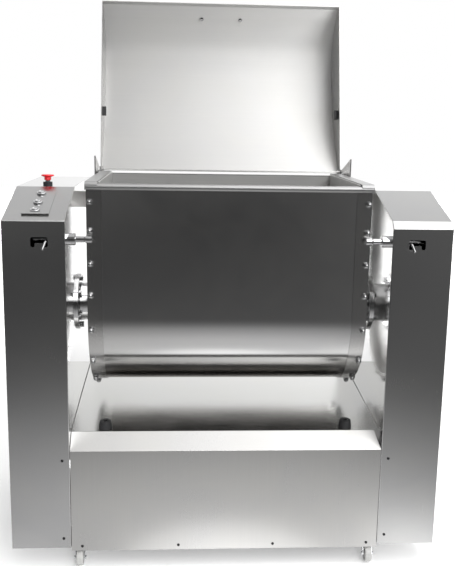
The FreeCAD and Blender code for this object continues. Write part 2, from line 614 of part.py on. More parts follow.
r = 6.0
grip = Part.makeCylinder(r, 140.0 - 24.0, along(-58.0, 42.0), V(1, 0, 0))
legs = []
for s in (-1, 1):
    legs.append(Part.makeCylinder(r, 30.0, along(s * 70.0, 0.0), o))
    centre = along(s * 58.0, 30.0)
    mid = centre + V(s * 12.0 * math.sin(math.pi / 4), 0, 0) + o * (12.0 * math.cos(math.pi / 4))
    bend = Part.Wire([Part.Arc(along(s * 70.0, 30.0), mid, along(s * 58.0, 42.0)).toShape()])
    prof = Part.Wire([Part.Circle(along(s * 70.0, 30.0), o, r).toShape()])
    legs.append(bend.makePipeShell([prof], True, False))
handle = grip
for g in legs:
    handle = handle.fuse(g)
handle = handle.removeSplitter()
node("lid_handle", handle)
bolt = fuse(Part.makeCylinder(7.5, 1.2, V(0, 0, 0)), Part.makeCylinder(5.0, 4.0, V(0, 0, 1.2)))
node("lid_handle", [place(bolt, tuple(along(s * 70.0, -SHEET - 0.05)), (-o.x, -o.y, -o.z)) for s in (-1, 1)])

# ---------------------------------------------------------------- agitator
# a driven stub shaft on the left and an idle one on the right, so that nothing crosses the trough
node("agitator_shafts", cyl_x(-628.0, -300.0, AXIS_Y, AXIS_Z, SHAFT_R), cyl_x(300.0, 530.0, AXIS_Y, AXIS_Z, SHAFT_R))


def spoke_angles(side):
    return [90.0 + 120.0 * i + (22.0 if side > 0 else -22.0) for i in range(3)]


def bar_end(side, i, r=AGITATOR_R):
    a = math.radians(spoke_angles(side)[i])
    return V(side * 326.0, AXIS_Y + r * math.cos(a), AXIS_Z + r * math.sin(a))


def spider(side):
    s = side
    hub = cyl_x(s * 304.0, s * 364.0, AXIS_Y, AXIS_Z, 48.0)
    arms = []
    for i in range(3):
        a = spoke_angles(s)[i]
        arm = box(s * 326.0, s * 350.0, AXIS_Y, AXIS_Y + AGITATOR_R, AXIS_Z - 20.0, AXIS_Z + 20.0)
        arm = turn_x(arm, AXIS_Y, AXIS_Z, a)
        tip = bar_end(s, i)
        arms.append(arm)
        arms.append(cyl_x(s * 326.0, s * 350.0, tip.y, tip.z, 22.0))
    out = fuse(hub, *arms)
    return out.cut(cyl_x(s * 296.0, s * 372.0, AXIS_Y, AXIS_Z, SHAFT_R))


node("spiders", spider(-1), spider(1))
bars = []
for i in range(3):
    p, q = bar_end(-1, i), bar_end(1, i)
    length = (q - p).Length
    c = Part.makeCylinder(BAR_R, length + 40.0, p - (q - p).normalize() * 20.0, q - p)
    bars.append(c.common(box(-326.0, 326.0, 0, 700, 400, 1200)))
node("mixing_bars", bars)
node("mixing_bars", [place(hex_bolt, (s * 350.0, bar_end(s, i).y, bar_end(s, i).z), (s, 0, 0)) for s in (-1, 1) for i in range(3)])


# ---------------------------------------------------------------- drive in the left cabinet
def sprocket(teeth, x0, x1, y, z, tip):
    root = tip - 5.5
    pts = []
    for i in range(teeth):
        for f, rr in ((-0.34, root), (-0.13, tip), (0.13, tip), (0.34, root)):
            a = 2 * math.pi * (i + f) / teeth
            pts.append((y + rr * math.cos(a), z + rr * math.sin(a)))
    return prism_x(pts, x0, x1)


R_BIG = CHAIN_PITCH / (2 * math.sin(math.pi / TEETH_BIG))
R_SMALL = CHAIN_PITCH / (2 * math.sin(math.pi / TEETH_SMALL))
CH_IN, CH_OUT = -6.0, 8.0
big = fuse(sprocket(TEETH_BIG, -606.0, -595.0, AXIS_Y, AXIS_Z, R_BIG + CH_IN - 0.8), cyl_x(-595.0, -560.0, AXIS_Y, AXIS_Z, 42.0))
for i in range(5):
    a = math.radians(72 * i)
    big = big.cut(cyl_x(-610.0, -590.0, AXIS_Y + 74 * math.cos(a), AXIS_Z + 74 * math.sin(a), 22.0))
node("driven_sprocket", big.cut(cyl_x(-640.0, -550.0, AXIS_Y, AXIS_Z, SHAFT_R)))
node("drive_sprocket", fuse(sprocket(TEETH_SMALL, -606.0, -595.0, AXIS_Y, DRIVE_Z, R_SMALL + CH_IN - 0.8), cyl_x(-595.0, -588.0, AXIS_Y, DRIVE_Z, 24.0)).cut(cyl_x(-640.0, -550.0, AXIS_Y, DRIVE_Z, 14.0)))
node("drive_sprocket", cyl_x(-618.0, -500.0, AXIS_Y, DRIVE_Z, 14.0))


def chain_loop(dr, x0, x1):
    r1, r2, dist = R_BIG + dr, R_SMALL + dr, AXIS_Z - DRIVE_Z
    nz = (r2 - r1) / dist
    ny = math.sqrt(1 - nz * nz)
    a1, a2 = (AXIS_Y - r1 * ny, AXIS_Z + r1 * nz), (AXIS_Y + r1 * ny, AXIS_Z + r1 * nz)
    b1, b2 = (AXIS_Y - r2 * ny, DRIVE_Z + r2 * nz), (AXIS_Y + r2 * ny, DRIVE_Z + r2 * nz)
    e = [line(b1, a1), arc(a1, (AXIS_Y, AXIS_Z + r1), a2), line(a2, b2), arc(b2, (AXIS_Y, DRIVE_Z - r2), b1)]
    return face_prism_x(e, x0, x1)


node("drive_chain", chain_loop(CH_OUT, -609.0, -592.0).cut(chain_loop(CH_IN, -612.0, -588.0)))
gear_case = box(-582.0, -505.0, 225.0, 375.0, 190.0, 340.0)
gear_case = gear_case.makeFillet(12.0, gear_case.Edges)
gear_case = fuse(gear_case, cyl_x(-586.0, -582.0, AXIS_Y, DRIVE_Z, 40.0), box(-592.0, -495.0, 232.0, 368.0, 183.0, 196.0))
node("gearbox", gear_case.cut(cyl_x(-600.0, -499.0, AXIS_Y, DRIVE_Z, 14.0 + RUN_CLEAR)))
motor = fuse(cyl_y(375.0, 385.0, -543.5, DRIVE_Z, 60.0), cyl_y(385.0, 575.0, -543.5, DRIVE_Z, 58.0), box(-580.0, -507.0, 430.0, 520.0, DRIVE_Z + 40.0, DRIVE_Z + 90.0), box(-590.0, -497.0, 410.0, 540.0, 183.0, DRIVE_Z - 45.0))
node("motor", motor)
node("motor", cyl_y(576.0, 612.0, -543.5, DRIVE_Z, 61.0).cut(cyl_y(575.0, 609.0, -543.5, DRIVE_Z, 59.0)))
node("electrical_box", fuse(box(-648.0, -560.0, 470.0, 650.0, 520.0, 740.0), box(-560.0, -556.0, 466.0, 654.0, 516.0, 744.0)))
gland = fuse(place(hex_prism(27.0, 8.0), (-600.0, 708.0, 180.0), (0, 1, 0)), cyl_y(716.0, 734.0, -600.0, 180.0, 11.5), cyl_y(696.0, 708.0, -600.0, 180.0, 11.9), place(hex_prism(27.0, 5.0), (-600.0, 701.0, 180.0), (0, 1, 0)))
node("cable_gland", gland.cut(cyl_y(690.0, 740.0, -600.0, 180.0, 6.0)))

# ---------------------------------------------------------------- tilt lock pins
for tag, s in (("left", -1), ("right", 1)):
    sleeve = fuse(cyl_x(s * 446.0, s * HALF_G, PIN_Y, PIN_Z, 17.5), cyl_x(s * HALF_G, s * 486.0, PIN_Y, PIN_Z, 12.9))
    node("lock_sleeves", sleeve.cut(cyl_x(s * 440.0, s * 500.0, PIN_Y, PIN_Z, PIN_R + 0.08)))
    # the rod, with two shoulders that keep the handle's hub in place along it
    rod = fuse(cyl_x(s * (PIN_TIP + 2.0), s * 604.0, PIN_Y, PIN_Z, PIN_R), Part.makeCone(PIN_R - 2.0, PIN_R, 2.0, V(s * PIN_TIP, PIN_Y, PIN_Z), V(s, 0, 0)),
               cyl_x(s * 507.0, s * 512.0, PIN_Y, PIN_Z, 13.0), cyl_x(s * 540.0, s * 545.0, PIN_Y, PIN_Z, 13.0))
    node("lock_pin_" + tag, rod)
    # handle: a rod out through the slot above its tongue, its end cranked forward, down and a little outward
    a = V(s * HANDLE_X, PIN_Y - 8.0, PIN_Z - 2.3)
    c = V(s * HANDLE_X, -7.5, PIN_Z - 2.3)
    e = V(s * (HANDLE_X + 6.0), -21.0, PIN_Z - 21.5)
    grip = fuse(cyl_x(s * 512.5, s * 539.5, PIN_Y, PIN_Z, 13.0), Part.makeCylinder(4.0, (c - a).Length, a, c - a), Part.makeSphere(4.0, c), Part.makeCylinder(4.0, (e - c).Length, c, e - c), Part.makeSphere(4.0, e))
    node("lock_handle_" + tag, grip.cut(cyl_x(s * 500.0, s * 550.0, PIN_Y, PIN_Z, PIN_R + RUN_CLEAR)))
    # plate behind the front face that guides the rod's outer end
    guide = box(s * 610.0, s * 616.0, 2.0, 60.0, 986.0, 1030.0)
    node("lock_sleeves", guide.cut(cyl_x(s * 600.0, s * 620.0, PIN_Y, PIN_Z, PIN_R + 0.35)))

# ---------------------------------------------------------------- controls on the left slope
def slope_box(x0, x1, y0, y1, h0, h1):
    """A plate lying on the slope between depths y0 and y1, from height h0 to h1 above it."""
    base = CAB_FRONT_TOP
    c, sn = math.cos(math.radians(SLOPE_DEG)), math.sin(math.radians(SLOPE_DEG))
    pts = []
    for y, h in ((y0, h0), (y1, h0), (y1, h1), (y0, h1)):
        d = y / c
        pts.append((d * c - h * sn, base + d * sn + h * c))
    return prism_x(pts, x0, x1)


plate = fuse(slope_box(-600.0, -522.0, 44.0, 206.0, 0.0, 1.5), slope_box(-600.0, -522.0, 40.0, 50.0, 1.5, 5.0), slope_box(-600.0, -522.0, 37.5, 40.0, 2.4, 5.0))
holes = [slope_frame(Part.makeCylinder(11.2, 20, V(0, 0, -10)), BTN_X, y) for y in BTN_Y]
for h in holes:
    plate = plate.cut(h)
node("control_plate", plate)
bezels, blocks = [], []
for y in BTN_Y:
    bz = fuse(Part.makeCylinder(14.0, 5.5, V(0, 0, 1.5)), Part.makeCylinder(11.0, 32.0, V(0, 0, -26.0)))
    bz = bz.cut(Part.makeCylinder(9.3, 40.0, V(0, 0, -30.0)))
    bezels.append(slope_frame(bz, BTN_X, y))
    blocks.append(slope_frame(Part.makeBox(28.0, 34.0, 26.0, V(-14.0, -17.0, -52.0)), BTN_X, y))
node("button_bezels", bezels)
for tag, y in zip(("forward", "reverse", "stop"), BTN_Y):
    cap = fuse(Part.makeCylinder(9.0, 29.5, V(0, 0, -20.0)), Part.makeCylinder(4.0, 2.0, V(0, 0, -22.0)))
    node("button_" + tag, slope_frame(cap, BTN_X, y))
blocks.append(box(ESTOP_X - 15.0, ESTOP_X + 15.0, ESTOP_Y - 18.0, ESTOP_Y + 18.0, CAB_TOP - 58.0, CAB_TOP - 30.0))
node("switch_blocks", blocks)
node("switch_blocks", fuse(cyl_z(CAB_TOP, CAB_TOP + 12.0, ESTOP_X, ESTOP_Y, 14.5), cyl_z(CAB_TOP - 30.0, CAB_TOP, ESTOP_X, ESTOP_Y, 11.0)).cut(cyl_z(CAB_TOP - 40.0, CAB_TOP + 20.0, ESTOP_X, ESTOP_Y, 8.3)))
node("estop_stem", cyl_z(CAB_TOP - 22.0, CAB_TOP + 23.0, ESTOP_X, ESTOP_Y, 8.0))
head = fuse(cyl_z(CAB_TOP + 23.0, CAB_TOP + 27.0, ESTOP_X, ESTOP_Y, 10.5), Part.makeCone(10.5, 20.0, 4.0, V(ESTOP_X, ESTOP_Y, CAB_TOP + 26.0)), cyl_z(CAB_TOP + 30.0, CAB_TOP + 33.0, ESTOP_X, ESTOP_Y, 20.0),
            Part.makeCone(20.0, 15.0, 2.5, V(ESTOP_X, ESTOP_Y, CAB_TOP + 33.0)), cyl_z(CAB_TOP + 17.4, CAB_TOP + 24.0, ESTOP_X, ESTOP_Y, 10.5))
node("estop_head", head.cut(cyl_z(CAB_TOP + 16.0, CAB_TOP + 23.0, ESTOP_X, ESTOP_Y, 8.2)))

# ---------------------------------------------------------------- write every group
for name in list(made):
    shape = made[name][0].copy() if len(made[name]) == 1 else Part.makeCompound(made[name])
    shape.translate(V(0, Y_SHIFT, 0))
    shape.exportStep("parts/" + name + ".step")
    made[name] = shape
lo = [min(getattr(s.BoundBox, a) for s in made.values()) for a in ("XMin", "YMin", "ZMin")]
hi = [max(getattr(s.BoundBox, a) for s in made.values()) for a in ("XMax", "YMax", "ZMax")]
print("nodes", len(made), "box", [round(v, 2) for v in lo], [round(v, 2) for v in hi], "centre y", round((lo[1] + hi[1]) / 2, 3))
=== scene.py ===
import json
import math

import bmesh
import bpy
from mathutils import Matrix, Vector

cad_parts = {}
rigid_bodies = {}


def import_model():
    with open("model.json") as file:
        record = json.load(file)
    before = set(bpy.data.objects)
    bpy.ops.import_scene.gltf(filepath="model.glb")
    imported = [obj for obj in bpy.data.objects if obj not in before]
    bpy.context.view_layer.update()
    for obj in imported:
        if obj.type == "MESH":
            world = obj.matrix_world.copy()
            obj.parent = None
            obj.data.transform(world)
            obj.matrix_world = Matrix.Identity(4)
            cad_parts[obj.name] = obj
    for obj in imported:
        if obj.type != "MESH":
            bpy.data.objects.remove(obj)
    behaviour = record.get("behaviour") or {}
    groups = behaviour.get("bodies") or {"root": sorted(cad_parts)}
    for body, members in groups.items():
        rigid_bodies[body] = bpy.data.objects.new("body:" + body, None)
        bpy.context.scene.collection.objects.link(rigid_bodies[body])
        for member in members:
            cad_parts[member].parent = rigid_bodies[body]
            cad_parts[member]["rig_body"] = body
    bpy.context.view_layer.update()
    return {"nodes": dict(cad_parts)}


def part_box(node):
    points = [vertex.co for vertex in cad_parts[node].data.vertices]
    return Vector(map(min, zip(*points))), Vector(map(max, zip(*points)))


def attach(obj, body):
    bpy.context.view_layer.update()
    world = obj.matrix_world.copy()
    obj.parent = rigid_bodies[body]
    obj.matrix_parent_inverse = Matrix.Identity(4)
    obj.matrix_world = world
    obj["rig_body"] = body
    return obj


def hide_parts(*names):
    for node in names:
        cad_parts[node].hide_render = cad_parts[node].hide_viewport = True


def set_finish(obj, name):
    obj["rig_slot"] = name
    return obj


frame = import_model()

NODES = frame["nodes"]
scene = bpy.context.scene

# ------------------------------------------------------------------ shared dimensions (mm)
# Same drawing frame as the solids: X right, Y back from the cabinets' front face, Z up.
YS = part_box("left_cabinet_shell")[0].y * 1000.0
HALF_W, HALF_G, PANEL_HALF = 650.0, 471.5, 470.0
CAB_BOTTOM, CAB_FRONT_TOP, CAB_TOP, CAB_DEPTH, CAB_SLOPE = 63.0, 1065.0, 1142.0, 710.0, 249.0
AXIS_Y, AXIS_Z = 300.0, 769.0
SHELL_R, SHELL_T, BAND_T, TANK_HALF = 246.5, 3.0, 3.0, 416.6
RIM_BOTTOM, RIM_TOP, ROLL_R = 1150.0, 1175.0, 9.0
ROLL_TOP = RIM_BOTTOM + 2.0 * ROLL_R
LID_HALF, LID_LEN, LEAN = 422.7, 597.0, math.radians(13.65)
HINGE = (606.0, 1172.0)
SLOPE = (CAB_TOP - CAB_FRONT_TOP) / CAB_SLOPE
SLOPE_A = math.atan(SLOPE)
FLOOR_RISE = 0.082
CHAMFER = 19.5
PIN_Y, PIN_Z = 36.0, 1008.0


def P(x, y, z):
    return Vector((x / 1000.0, (y + YS) / 1000.0, z / 1000.0))


# ------------------------------------------------------------------ materials
def base_mat(name):
    m = bpy.data.materials.new(name)
    m.use_nodes = True
    nt = m.node_tree
    nt.nodes.clear()
    out = nt.nodes.new("ShaderNodeOutputMaterial")
    b = nt.nodes.new("ShaderNodeBsdfPrincipled")
    nt.links.new(b.outputs[0], out.inputs[0])
    return m, nt, b


def tex(nt, scale, detail=3.0, rough=0.55, dist=0.0, stretch=(1, 1, 1), offset=(0, 0, 0)):
    tc = nt.nodes.new("ShaderNodeTexCoord")
    mp = nt.nodes.new("ShaderNodeMapping")
    mp.inputs["Scale"].default_value = stretch
    mp.inputs["Location"].default_value = offset
    nz = nt.nodes.new("ShaderNodeTexNoise")
    nz.inputs["Scale"].default_value = scale
    nz.inputs["Detail"].default_value = detail
    nz.inputs["Roughness"].default_value = rough
    nz.inputs["Distortion"].default_value = dist
    nt.links.new(tc.outputs["Object"], mp.inputs[0])
    nt.links.new(mp.outputs[0], nz.inputs["Vector"])
    return nz.outputs["Fac"]


def remap(nt, sock, a, b, lo=0.3, hi=0.7):
    r = nt.nodes.new("ShaderNodeMapRange")
    r.inputs["From Min"].default_value = lo
    r.inputs["From Max"].default_value = hi
    r.inputs["To Min"].default_value = a
    r.inputs["To Max"].default_value = b
    nt.links.new(sock, r.inputs["Value"])
    return r.outputs[0]


def math2(nt, op, a, b):
    m = nt.nodes.new("ShaderNodeMath")
    m.operation = op
    for i, v in enumerate((a, b)):
        if isinstance(v, (int, float)):
            m.inputs[i].default_value = v
        else:
            nt.links.new(v, m.inputs[i])
    return m.outputs[0]


def ramp(nt, sock, c0, c1, p0=0.3, p1=0.7):
    r = nt.nodes.new("ShaderNodeValToRGB")
    r.color_ramp.elements[0].position = p0
    r.color_ramp.elements[0].color = (*c0, 1)
    r.color_ramp.elements[1].position = p1
    r.color_ramp.elements[1].color = (*c1, 1)
    nt.links.new(sock, r.inputs[0])
    return r.outputs[0]


def bump(nt, sock, strength, distance, under=None):
    b = nt.nodes.new("ShaderNodeBump")
    b.inputs["Strength"].default_value = strength
    b.inputs["Distance"].default_value = distance
    nt.links.new(sock, b.inputs["Height"])
    if under is not None:
        nt.links.new(under, b.inputs["Normal"])
    return b.outputs[0]


GRAIN = {"x": (0.012, 1, 1), "y": (1, 0.012, 1), "z": (1, 1, 0.012), "n": (1, 1, 1)}


def steel(name, base=(0.57, 0.57, 0.575), rough=0.26, grain="z", spread=0.02, tone=0.018, smudge=0.02,
          wave=0.0, wave_scale=2.2, grain_scale=900.0, scratch=0.004, inner=None, spread_along=None, aniso=0.0, metal=1.0, under=None):
    """Brushed stainless: fine drawn grain in colour, roughness and relief, hand smudges, and sheet waviness.
    inner is (limit in metres, roughness, brightness): faces nearer the middle plane than the limit take about that
    roughness, and their base colour is scaled by the brightness, which is painted light where it is above 1.
    under is (height in metres, height, colour): painted shade, the sheet darkens to that colour from the second height
    down to the first.
    spread_along says which way the grain smears reflections: "h" level with the floor, "v" up and down, "x" along X."""
    m, nt, b = base_mat(name)
    b.inputs["Metallic"].default_value = metal
    g = tex(nt, grain_scale, 2.0, 0.6, 0.0, GRAIN[grain])
    s = tex(nt, 5.0, 4.0, 0.6, 0.6)
    fine = tex(nt, grain_scale * 0.33, 1.0, 0.5, 0.0, GRAIN[grain], (3.1, 1.7, 4.9))
    r = math2(nt, "ADD", remap(nt, g, rough - spread, rough + spread), remap(nt, s, -smudge, smudge, 0.35, 0.65))
    if inner:
        tc = nt.nodes.new("ShaderNodeTexCoord")
        sp = nt.nodes.new("ShaderNodeSeparateXYZ")
        nt.links.new(tc.outputs["Object"], sp.inputs[0])
        near = math2(nt, "LESS_THAN", math2(nt, "ABSOLUTE", sp.outputs[0], 0.0), inner[0])
        k = math2(nt, "SUBTRACT", 1.0, math2(nt, "MULTIPLY", near, 1.0 - inner[1] / rough))
        r = math2(nt, "MULTIPLY", r, k)
    nt.links.new(r, b.inputs["Roughness"])
    c0 = tuple(max(0.0, c * (1 - tone)) for c in base)
    c1 = tuple(min(1.0, c * (1 + tone)) for c in base)
    mix = nt.nodes.new("ShaderNodeMix")
    mix.data_type = "RGBA"
    mix.blend_type = "MULTIPLY"
    mix.inputs["Factor"].default_value = 1.0
    nt.links.new(ramp(nt, math2(nt, "ADD", math2(nt, "MULTIPLY", g, 0.5), math2(nt, "MULTIPLY", fine, 0.5)), c0, c1), mix.inputs["A"])
    nt.links.new(ramp(nt, s, (0.965, 0.965, 0.97), (1.0, 0.998, 0.99), 0.35, 0.62), mix.inputs["B"])
    col = mix.outputs["Result"]
    # painted light: near the middle plane the base colour is multiplied by the brightness (above 1 on the cabinets'
    # inner walls)
    if inner and len(inner) > 2:
        lm = nt.nodes.new("ShaderNodeMix")
        lm.data_type = "RGBA"
        lm.blend_type = "MULTIPLY"
        nt.links.new(near, lm.inputs["Factor"])
        nt.links.new(col, lm.inputs["A"])
        lm.inputs["B"].default_value = (inner[2], inner[2], inner[2], 1.0)
        col = lm.outputs["Result"]
    # painted shade: the base colour darkens towards the bottom of the sheet
    if under:
        tc = nt.nodes.new("ShaderNodeTexCoord")
        sp = nt.nodes.new("ShaderNodeSeparateXYZ")
        nt.links.new(tc.outputs["Object"], sp.inputs[0])
        um = nt.nodes.new("ShaderNodeMix")
        um.data_type = "RGBA"
        um.blend_type = "MULTIPLY"
        nt.links.new(remap(nt, math2(nt, "SUBTRACT", 0.0, sp.outputs[2]), 0.0, 1.0, -under[1], -under[0]), um.inputs["Factor"])
        nt.links.new(col, um.inputs["A"])
        um.inputs["B"].default_value = (*under[2], 1.0)
        col = um.outputs["Result"]
    nt.links.new(col, b.inputs["Base Color"])
    n = bump(nt, g, scratch, 0.0004)
    if aniso:
        b.inputs["Anisotropic"].default_value = aniso
        if spread_along in ("h", "v"):
            geo = nt.nodes.new("ShaderNodeNewGeometry")
            cr = nt.nodes.new("ShaderNodeVectorMath")
            cr.operation = "CROSS_PRODUCT"
            cr.inputs[1].default_value = (0.0, 0.0, 1.0) if spread_along == "h" else (1.0, 0.0, 0.0)
            nt.links.new(geo.outputs["True Normal"], cr.inputs[0])
            ad = nt.nodes.new("ShaderNodeVectorMath")
            ad.operation = "ADD"
            ad.inputs[1].default_value = (0.002, 0.0, 0.0)
            nt.links.new(cr.outputs[0], ad.inputs[0])
            nt.links.new(ad.outputs[0], b.inputs["Tangent"])
        else:
            cx = nt.nodes.new("ShaderNodeCombineXYZ")
            cx.inputs[0].default_value = 1.0
            nt.links.new(remap(nt, s, -0.03, 0.03), cx.inputs[2])
            nt.links.new(cx.outputs[0], b.inputs["Tangent"])
    if wave:
        w = tex(nt, wave_scale, 1.0, 0.4, 0.3, (1, 1, 1), (7.3, 2.2, 5.1))
        n = bump(nt, w, 1.0, wave, n)
    nt.links.new(n, b.inputs["Normal"])
    return m


def turned(name, base=(0.60, 0.60, 0.605), rough=0.16, scale=700.0, along="x"):
    """Turned or ground bright steel: fine rings across the axis."""
    m, nt, b = base_mat(name)
    b.inputs["Metallic"].default_value = 1.0
    st = {"x": (1, 0.02, 0.02), "y": (0.02, 1, 0.02), "z": (0.02, 0.02, 1), "n": (1, 1, 1)}[along]
    g = tex(nt, scale, 3.0, 0.6, 0.0, st)
    s = tex(nt, 30.0, 3.0, 0.6)
    nt.links.new(math2(nt, "ADD", remap(nt, g, rough - 0.05, rough + 0.06), remap(nt, s, -0.02, 0.03)), b.inputs["Roughness"])
    nt.links.new(ramp(nt, g, tuple(c * 0.93 for c in base), tuple(min(1, c * 1.05) for c in base)), b.inputs["Base Color"])
    nt.links.new(bump(nt, g, 0.03, 0.0004), b.inputs["Normal"])
    return m


def moulded(name, c, rough=0.45, var=0.12, grain=1500.0, bump_mm=0.05, coat=0.0):
    """Moulded plastic or rubber with a fine skin texture and slight colour drift."""
    m, nt, b = base_mat(name)
    g = tex(nt, grain, 2.0, 0.6)
    s = tex(nt, 25.0, 3.0, 0.6)
    nt.links.new(ramp(nt, s, tuple(v * (1 - var) for v in c), tuple(min(1, v * (1 + var)) for v in c)), b.inputs["Base Color"])
    nt.links.new(math2(nt, "ADD", remap(nt, g, rough - 0.05, rough + 0.05), remap(nt, s, -0.03, 0.04)), b.inputs["Roughness"])
    nt.links.new(bump(nt, g, 0.15, bump_mm / 1000.0), b.inputs["Normal"])
    if coat:
        b.inputs["Coat Weight"].default_value = coat
        b.inputs["Coat Roughness"].default_value = 0.06
    return m


def painted(name, c, rough=0.38):
    m, nt, b = base_mat(name)
    g = tex(nt, 260.0, 3.0, 0.6)
    s = tex(nt, 14.0, 4.0, 0.65)
    nt.links.new(ramp(nt, s, tuple(v * 0.82 for v in c), tuple(min(1, v * 1.08) for v in c)), b.inputs["Base Color"])
    nt.links.new(remap(nt, g, rough - 0.06, rough + 0.08), b.inputs["Roughness"])
    nt.links.new(bump(nt, g, 0.2, 0.0003), b.inputs["Normal"])
    b.inputs["Coat Weight"].default_value = 0.25
    b.inputs["Coat Roughness"].default_value = 0.2
    return m


M = {
    # cabinets: smoother inner walls beside the trough, their base colour raised 1.43 times as painted light
    "cab": steel("cabinet_steel", (0.58, 0.58, 0.58), 0.26, "z", wave=0.0003, scratch=0.0006, spread=0.004, tone=0.010, smudge=0.012, inner=(0.4727, 0.07, 1.43), spread_along="h", aniso=0.9),
    "panel": steel("base_panel_steel", (0.61, 0.605, 0.595), 0.30, "z", wave=0.0004, spread_along="h", aniso=0.7),
    "floor": steel("drip_floor_steel", (0.58, 0.58, 0.57), 0.21, "x", wave=0.0008),
    # trough: base colour darkened below 0.66 m to a warm grey, a painted shade on its underside
    "tank": steel("trough_steel", (0.66, 0.657, 0.655), 0.19, "z", wave=0.0002, scratch=0.001, spread=0.006, tone=0.010, spread_along="x", aniso=0.95, under=(0.548, 0.66, (0.36, 0.345, 0.33))),
    "tank_in": steel("trough_inside_steel", (0.67, 0.667, 0.66), 0.48, "x", tone=0.04),
    "tank_end": steel("trough_end_steel", (0.87, 0.867, 0.86), 0.07, "z", inner=(0.3865, 0.46, 0.84)),
    "band": steel("band_steel", (0.57, 0.565, 0.56), 0.24, "z", spread_along="x", aniso=0.7),
    "rim": steel("rim_steel", (0.43, 0.43, 0.43), 0.40, "x"),
    "lid": steel("lid_steel", (0.50, 0.497, 0.49), 0.45, "x", wave=0.002, wave_scale=2.6, metal=0.50, spread_along="v", aniso=0.85),
    "lid_end": steel("lid_end_steel", (0.58, 0.575, 0.57), 0.30, "z"),
    "frame": steel("frame_steel", (0.42, 0.42, 0.425), 0.38, "n", grain_scale=200.0),
    "turned": turned("turned_steel", (0.62, 0.62, 0.625), 0.10, along="x"),
    "ground": turned("ground_steel", (0.60, 0.60, 0.605), 0.16, along="n", scale=400.0),
    "nut": turned("bright_fastener", (0.52, 0.52, 0.525), 0.10, along="n", scale=500.0),
    "screw": turned("blackened_screw", (0.05, 0.05, 0.052), 0.30, along="n", scale=500.0),
    "chrome": turned("polished_steel", (0.70, 0.70, 0.71), 0.08, along="z", scale=900.0),
    "carbon": turned("oiled_steel", (0.20, 0.19, 0.18), 0.30, along="n", scale=300.0),
    "bronze": turned("bronze", (0.55, 0.36, 0.17), 0.22, along="x"),
    "zinc": steel("zinc_plate", (0.68, 0.69, 0.70), 0.24, "n", grain_scale=160.0, tone=0.06),
    "rubber": moulded("black_rubber", (0.018, 0.018, 0.019), 0.50, 0.3, 900.0, 0.15),
    "black": moulded("black_plastic", (0.02, 0.02, 0.022), 0.34, 0.2, 1200.0, 0.05),
    "red": moulded("red_plastic", (0.72, 0.010, 0.018), 0.24, 0.08, 1500.0, 0.02, 0.5),
    "grey": moulded("grey_plastic", (0.52, 0.53, 0.52), 0.42, 0.05, 900.0, 0.06),
    "wheel": moulded("wheel_plastic", (0.42, 0.42, 0.41), 0.34, 0.05, 900.0, 0.04, 0.2),
    "gearbox": painted("gearbox_paint", (0.24, 0.26, 0.28), 0.42),
    "motor": painted("motor_paint", (0.10, 0.17, 0.28), 0.36),
}

SHAFT_BORE = 25.3           # radius of the bushes' round bores

CAD_MATS = {
    "cabinet_covers": "cab", "control_plate": "cab", "left_cabinet_shell": "cab", "right_cabinet_shell": "cab",
    "base_front_panel": "panel", "floor_panel": "floor", "rear_panel": "panel", "rear_rail": "panel",
    "cabinet_frames": "frame", "base_frame": "frame", "tank_shell": "tank", "end_bands": "band", "tank_ends": "tank_end",
    "tank_rim": "rim", "hinge_ears": "lid_end", "lid_vault": "lid", "lid_ends": "lid_end", "bearing_housings": "turned",
    "trunnions": "turned", "agitator_shafts": "turned", "spiders": "ground", "mixing_bars": "ground", "lock_keepers": "ground",
    "lock_sleeves": "turned", "lock_pin_left": "turned", "lock_pin_right": "turned", "lock_handle_left": "nut",
    "lock_handle_right": "nut", "lid_handle": "nut", "hinge_pins": "turned", "estop_stem": "ground", "panel_screws": "screw",
    "housing_bolts": "nut", "tank_bolts": "nut", "button_bezels": "chrome", "button_forward": "chrome",
    "button_reverse": "chrome", "button_stop": "chrome", "drive_chain": "carbon", "driven_sprocket": "carbon",
    "drive_sprocket": "carbon", "trunnion_bushes": "bronze", "shaft_bushes": "bronze", "tank_buffers": "rubber",
    "lid_rests": "rubber", "shaft_seals": "rubber", "gearbox": "gearbox", "motor": "motor", "electrical_box": "grey",
    "switch_blocks": "black", "cable_gland": "black", "estop_head": "red",
}
for t in ("front_left", "front_right", "rear_left", "rear_right"):
    CAD_MATS["castor_fork_" + t] = "zinc"
    CAD_MATS["castor_wheel_" + t] = "wheel"
for n, o in NODES.items():
    o.data.materials.clear()
    o.data.materials.append(M[CAD_MATS[n]])


# ------------------------------------------------------------------ mesh helpers
def frame_to(p, d, up=None):
    """Matrix that puts a piece modelled on +Z at p (mm), with its axis along d."""
    d = Vector(d).normalized()
    q = Vector((0, 0, 1)).rotation_difference(d)
    return Matrix.Translation(P(*p)) @ q.to_matrix().to_4x4() @ Matrix.Scale(0.001, 4)


def add_lathe(bm, prof, mat, seg=32, cap=False):
    """Turns a profile of (radius, height) about the local Z axis. A radius of 0 closes to a point."""
    rings = []
    for r, h in prof:
        if r < 1e-6:
            rings.append([bm.verts.new(mat @ Vector((0, 0, h)))])
        else:
            rings.append([bm.verts.new(mat @ Vector((r * math.cos(2 * math.pi * i / seg), r * math.sin(2 * math.pi * i / seg), h))) for i in range(seg)])
    for a, b in zip(rings, rings[1:]):
        for i in range(seg):
            j = (i + 1) % seg
            if len(a) == 1 and len(b) == 1:
                continue
            if len(a) == 1:
                bm.faces.new((a[0], b[j], b[i]))
            elif len(b) == 1:
                bm.faces.new((a[i], a[j], b[0]))
            else:
                bm.faces.new((a[i], a[j], b[j], b[i]))
    if cap == "ring":
        a, b = rings[-1], rings[0]
        for i in range(seg):
            j = (i + 1) % seg
            bm.faces.new((a[i], a[j], b[j], b[i]))
    return rings


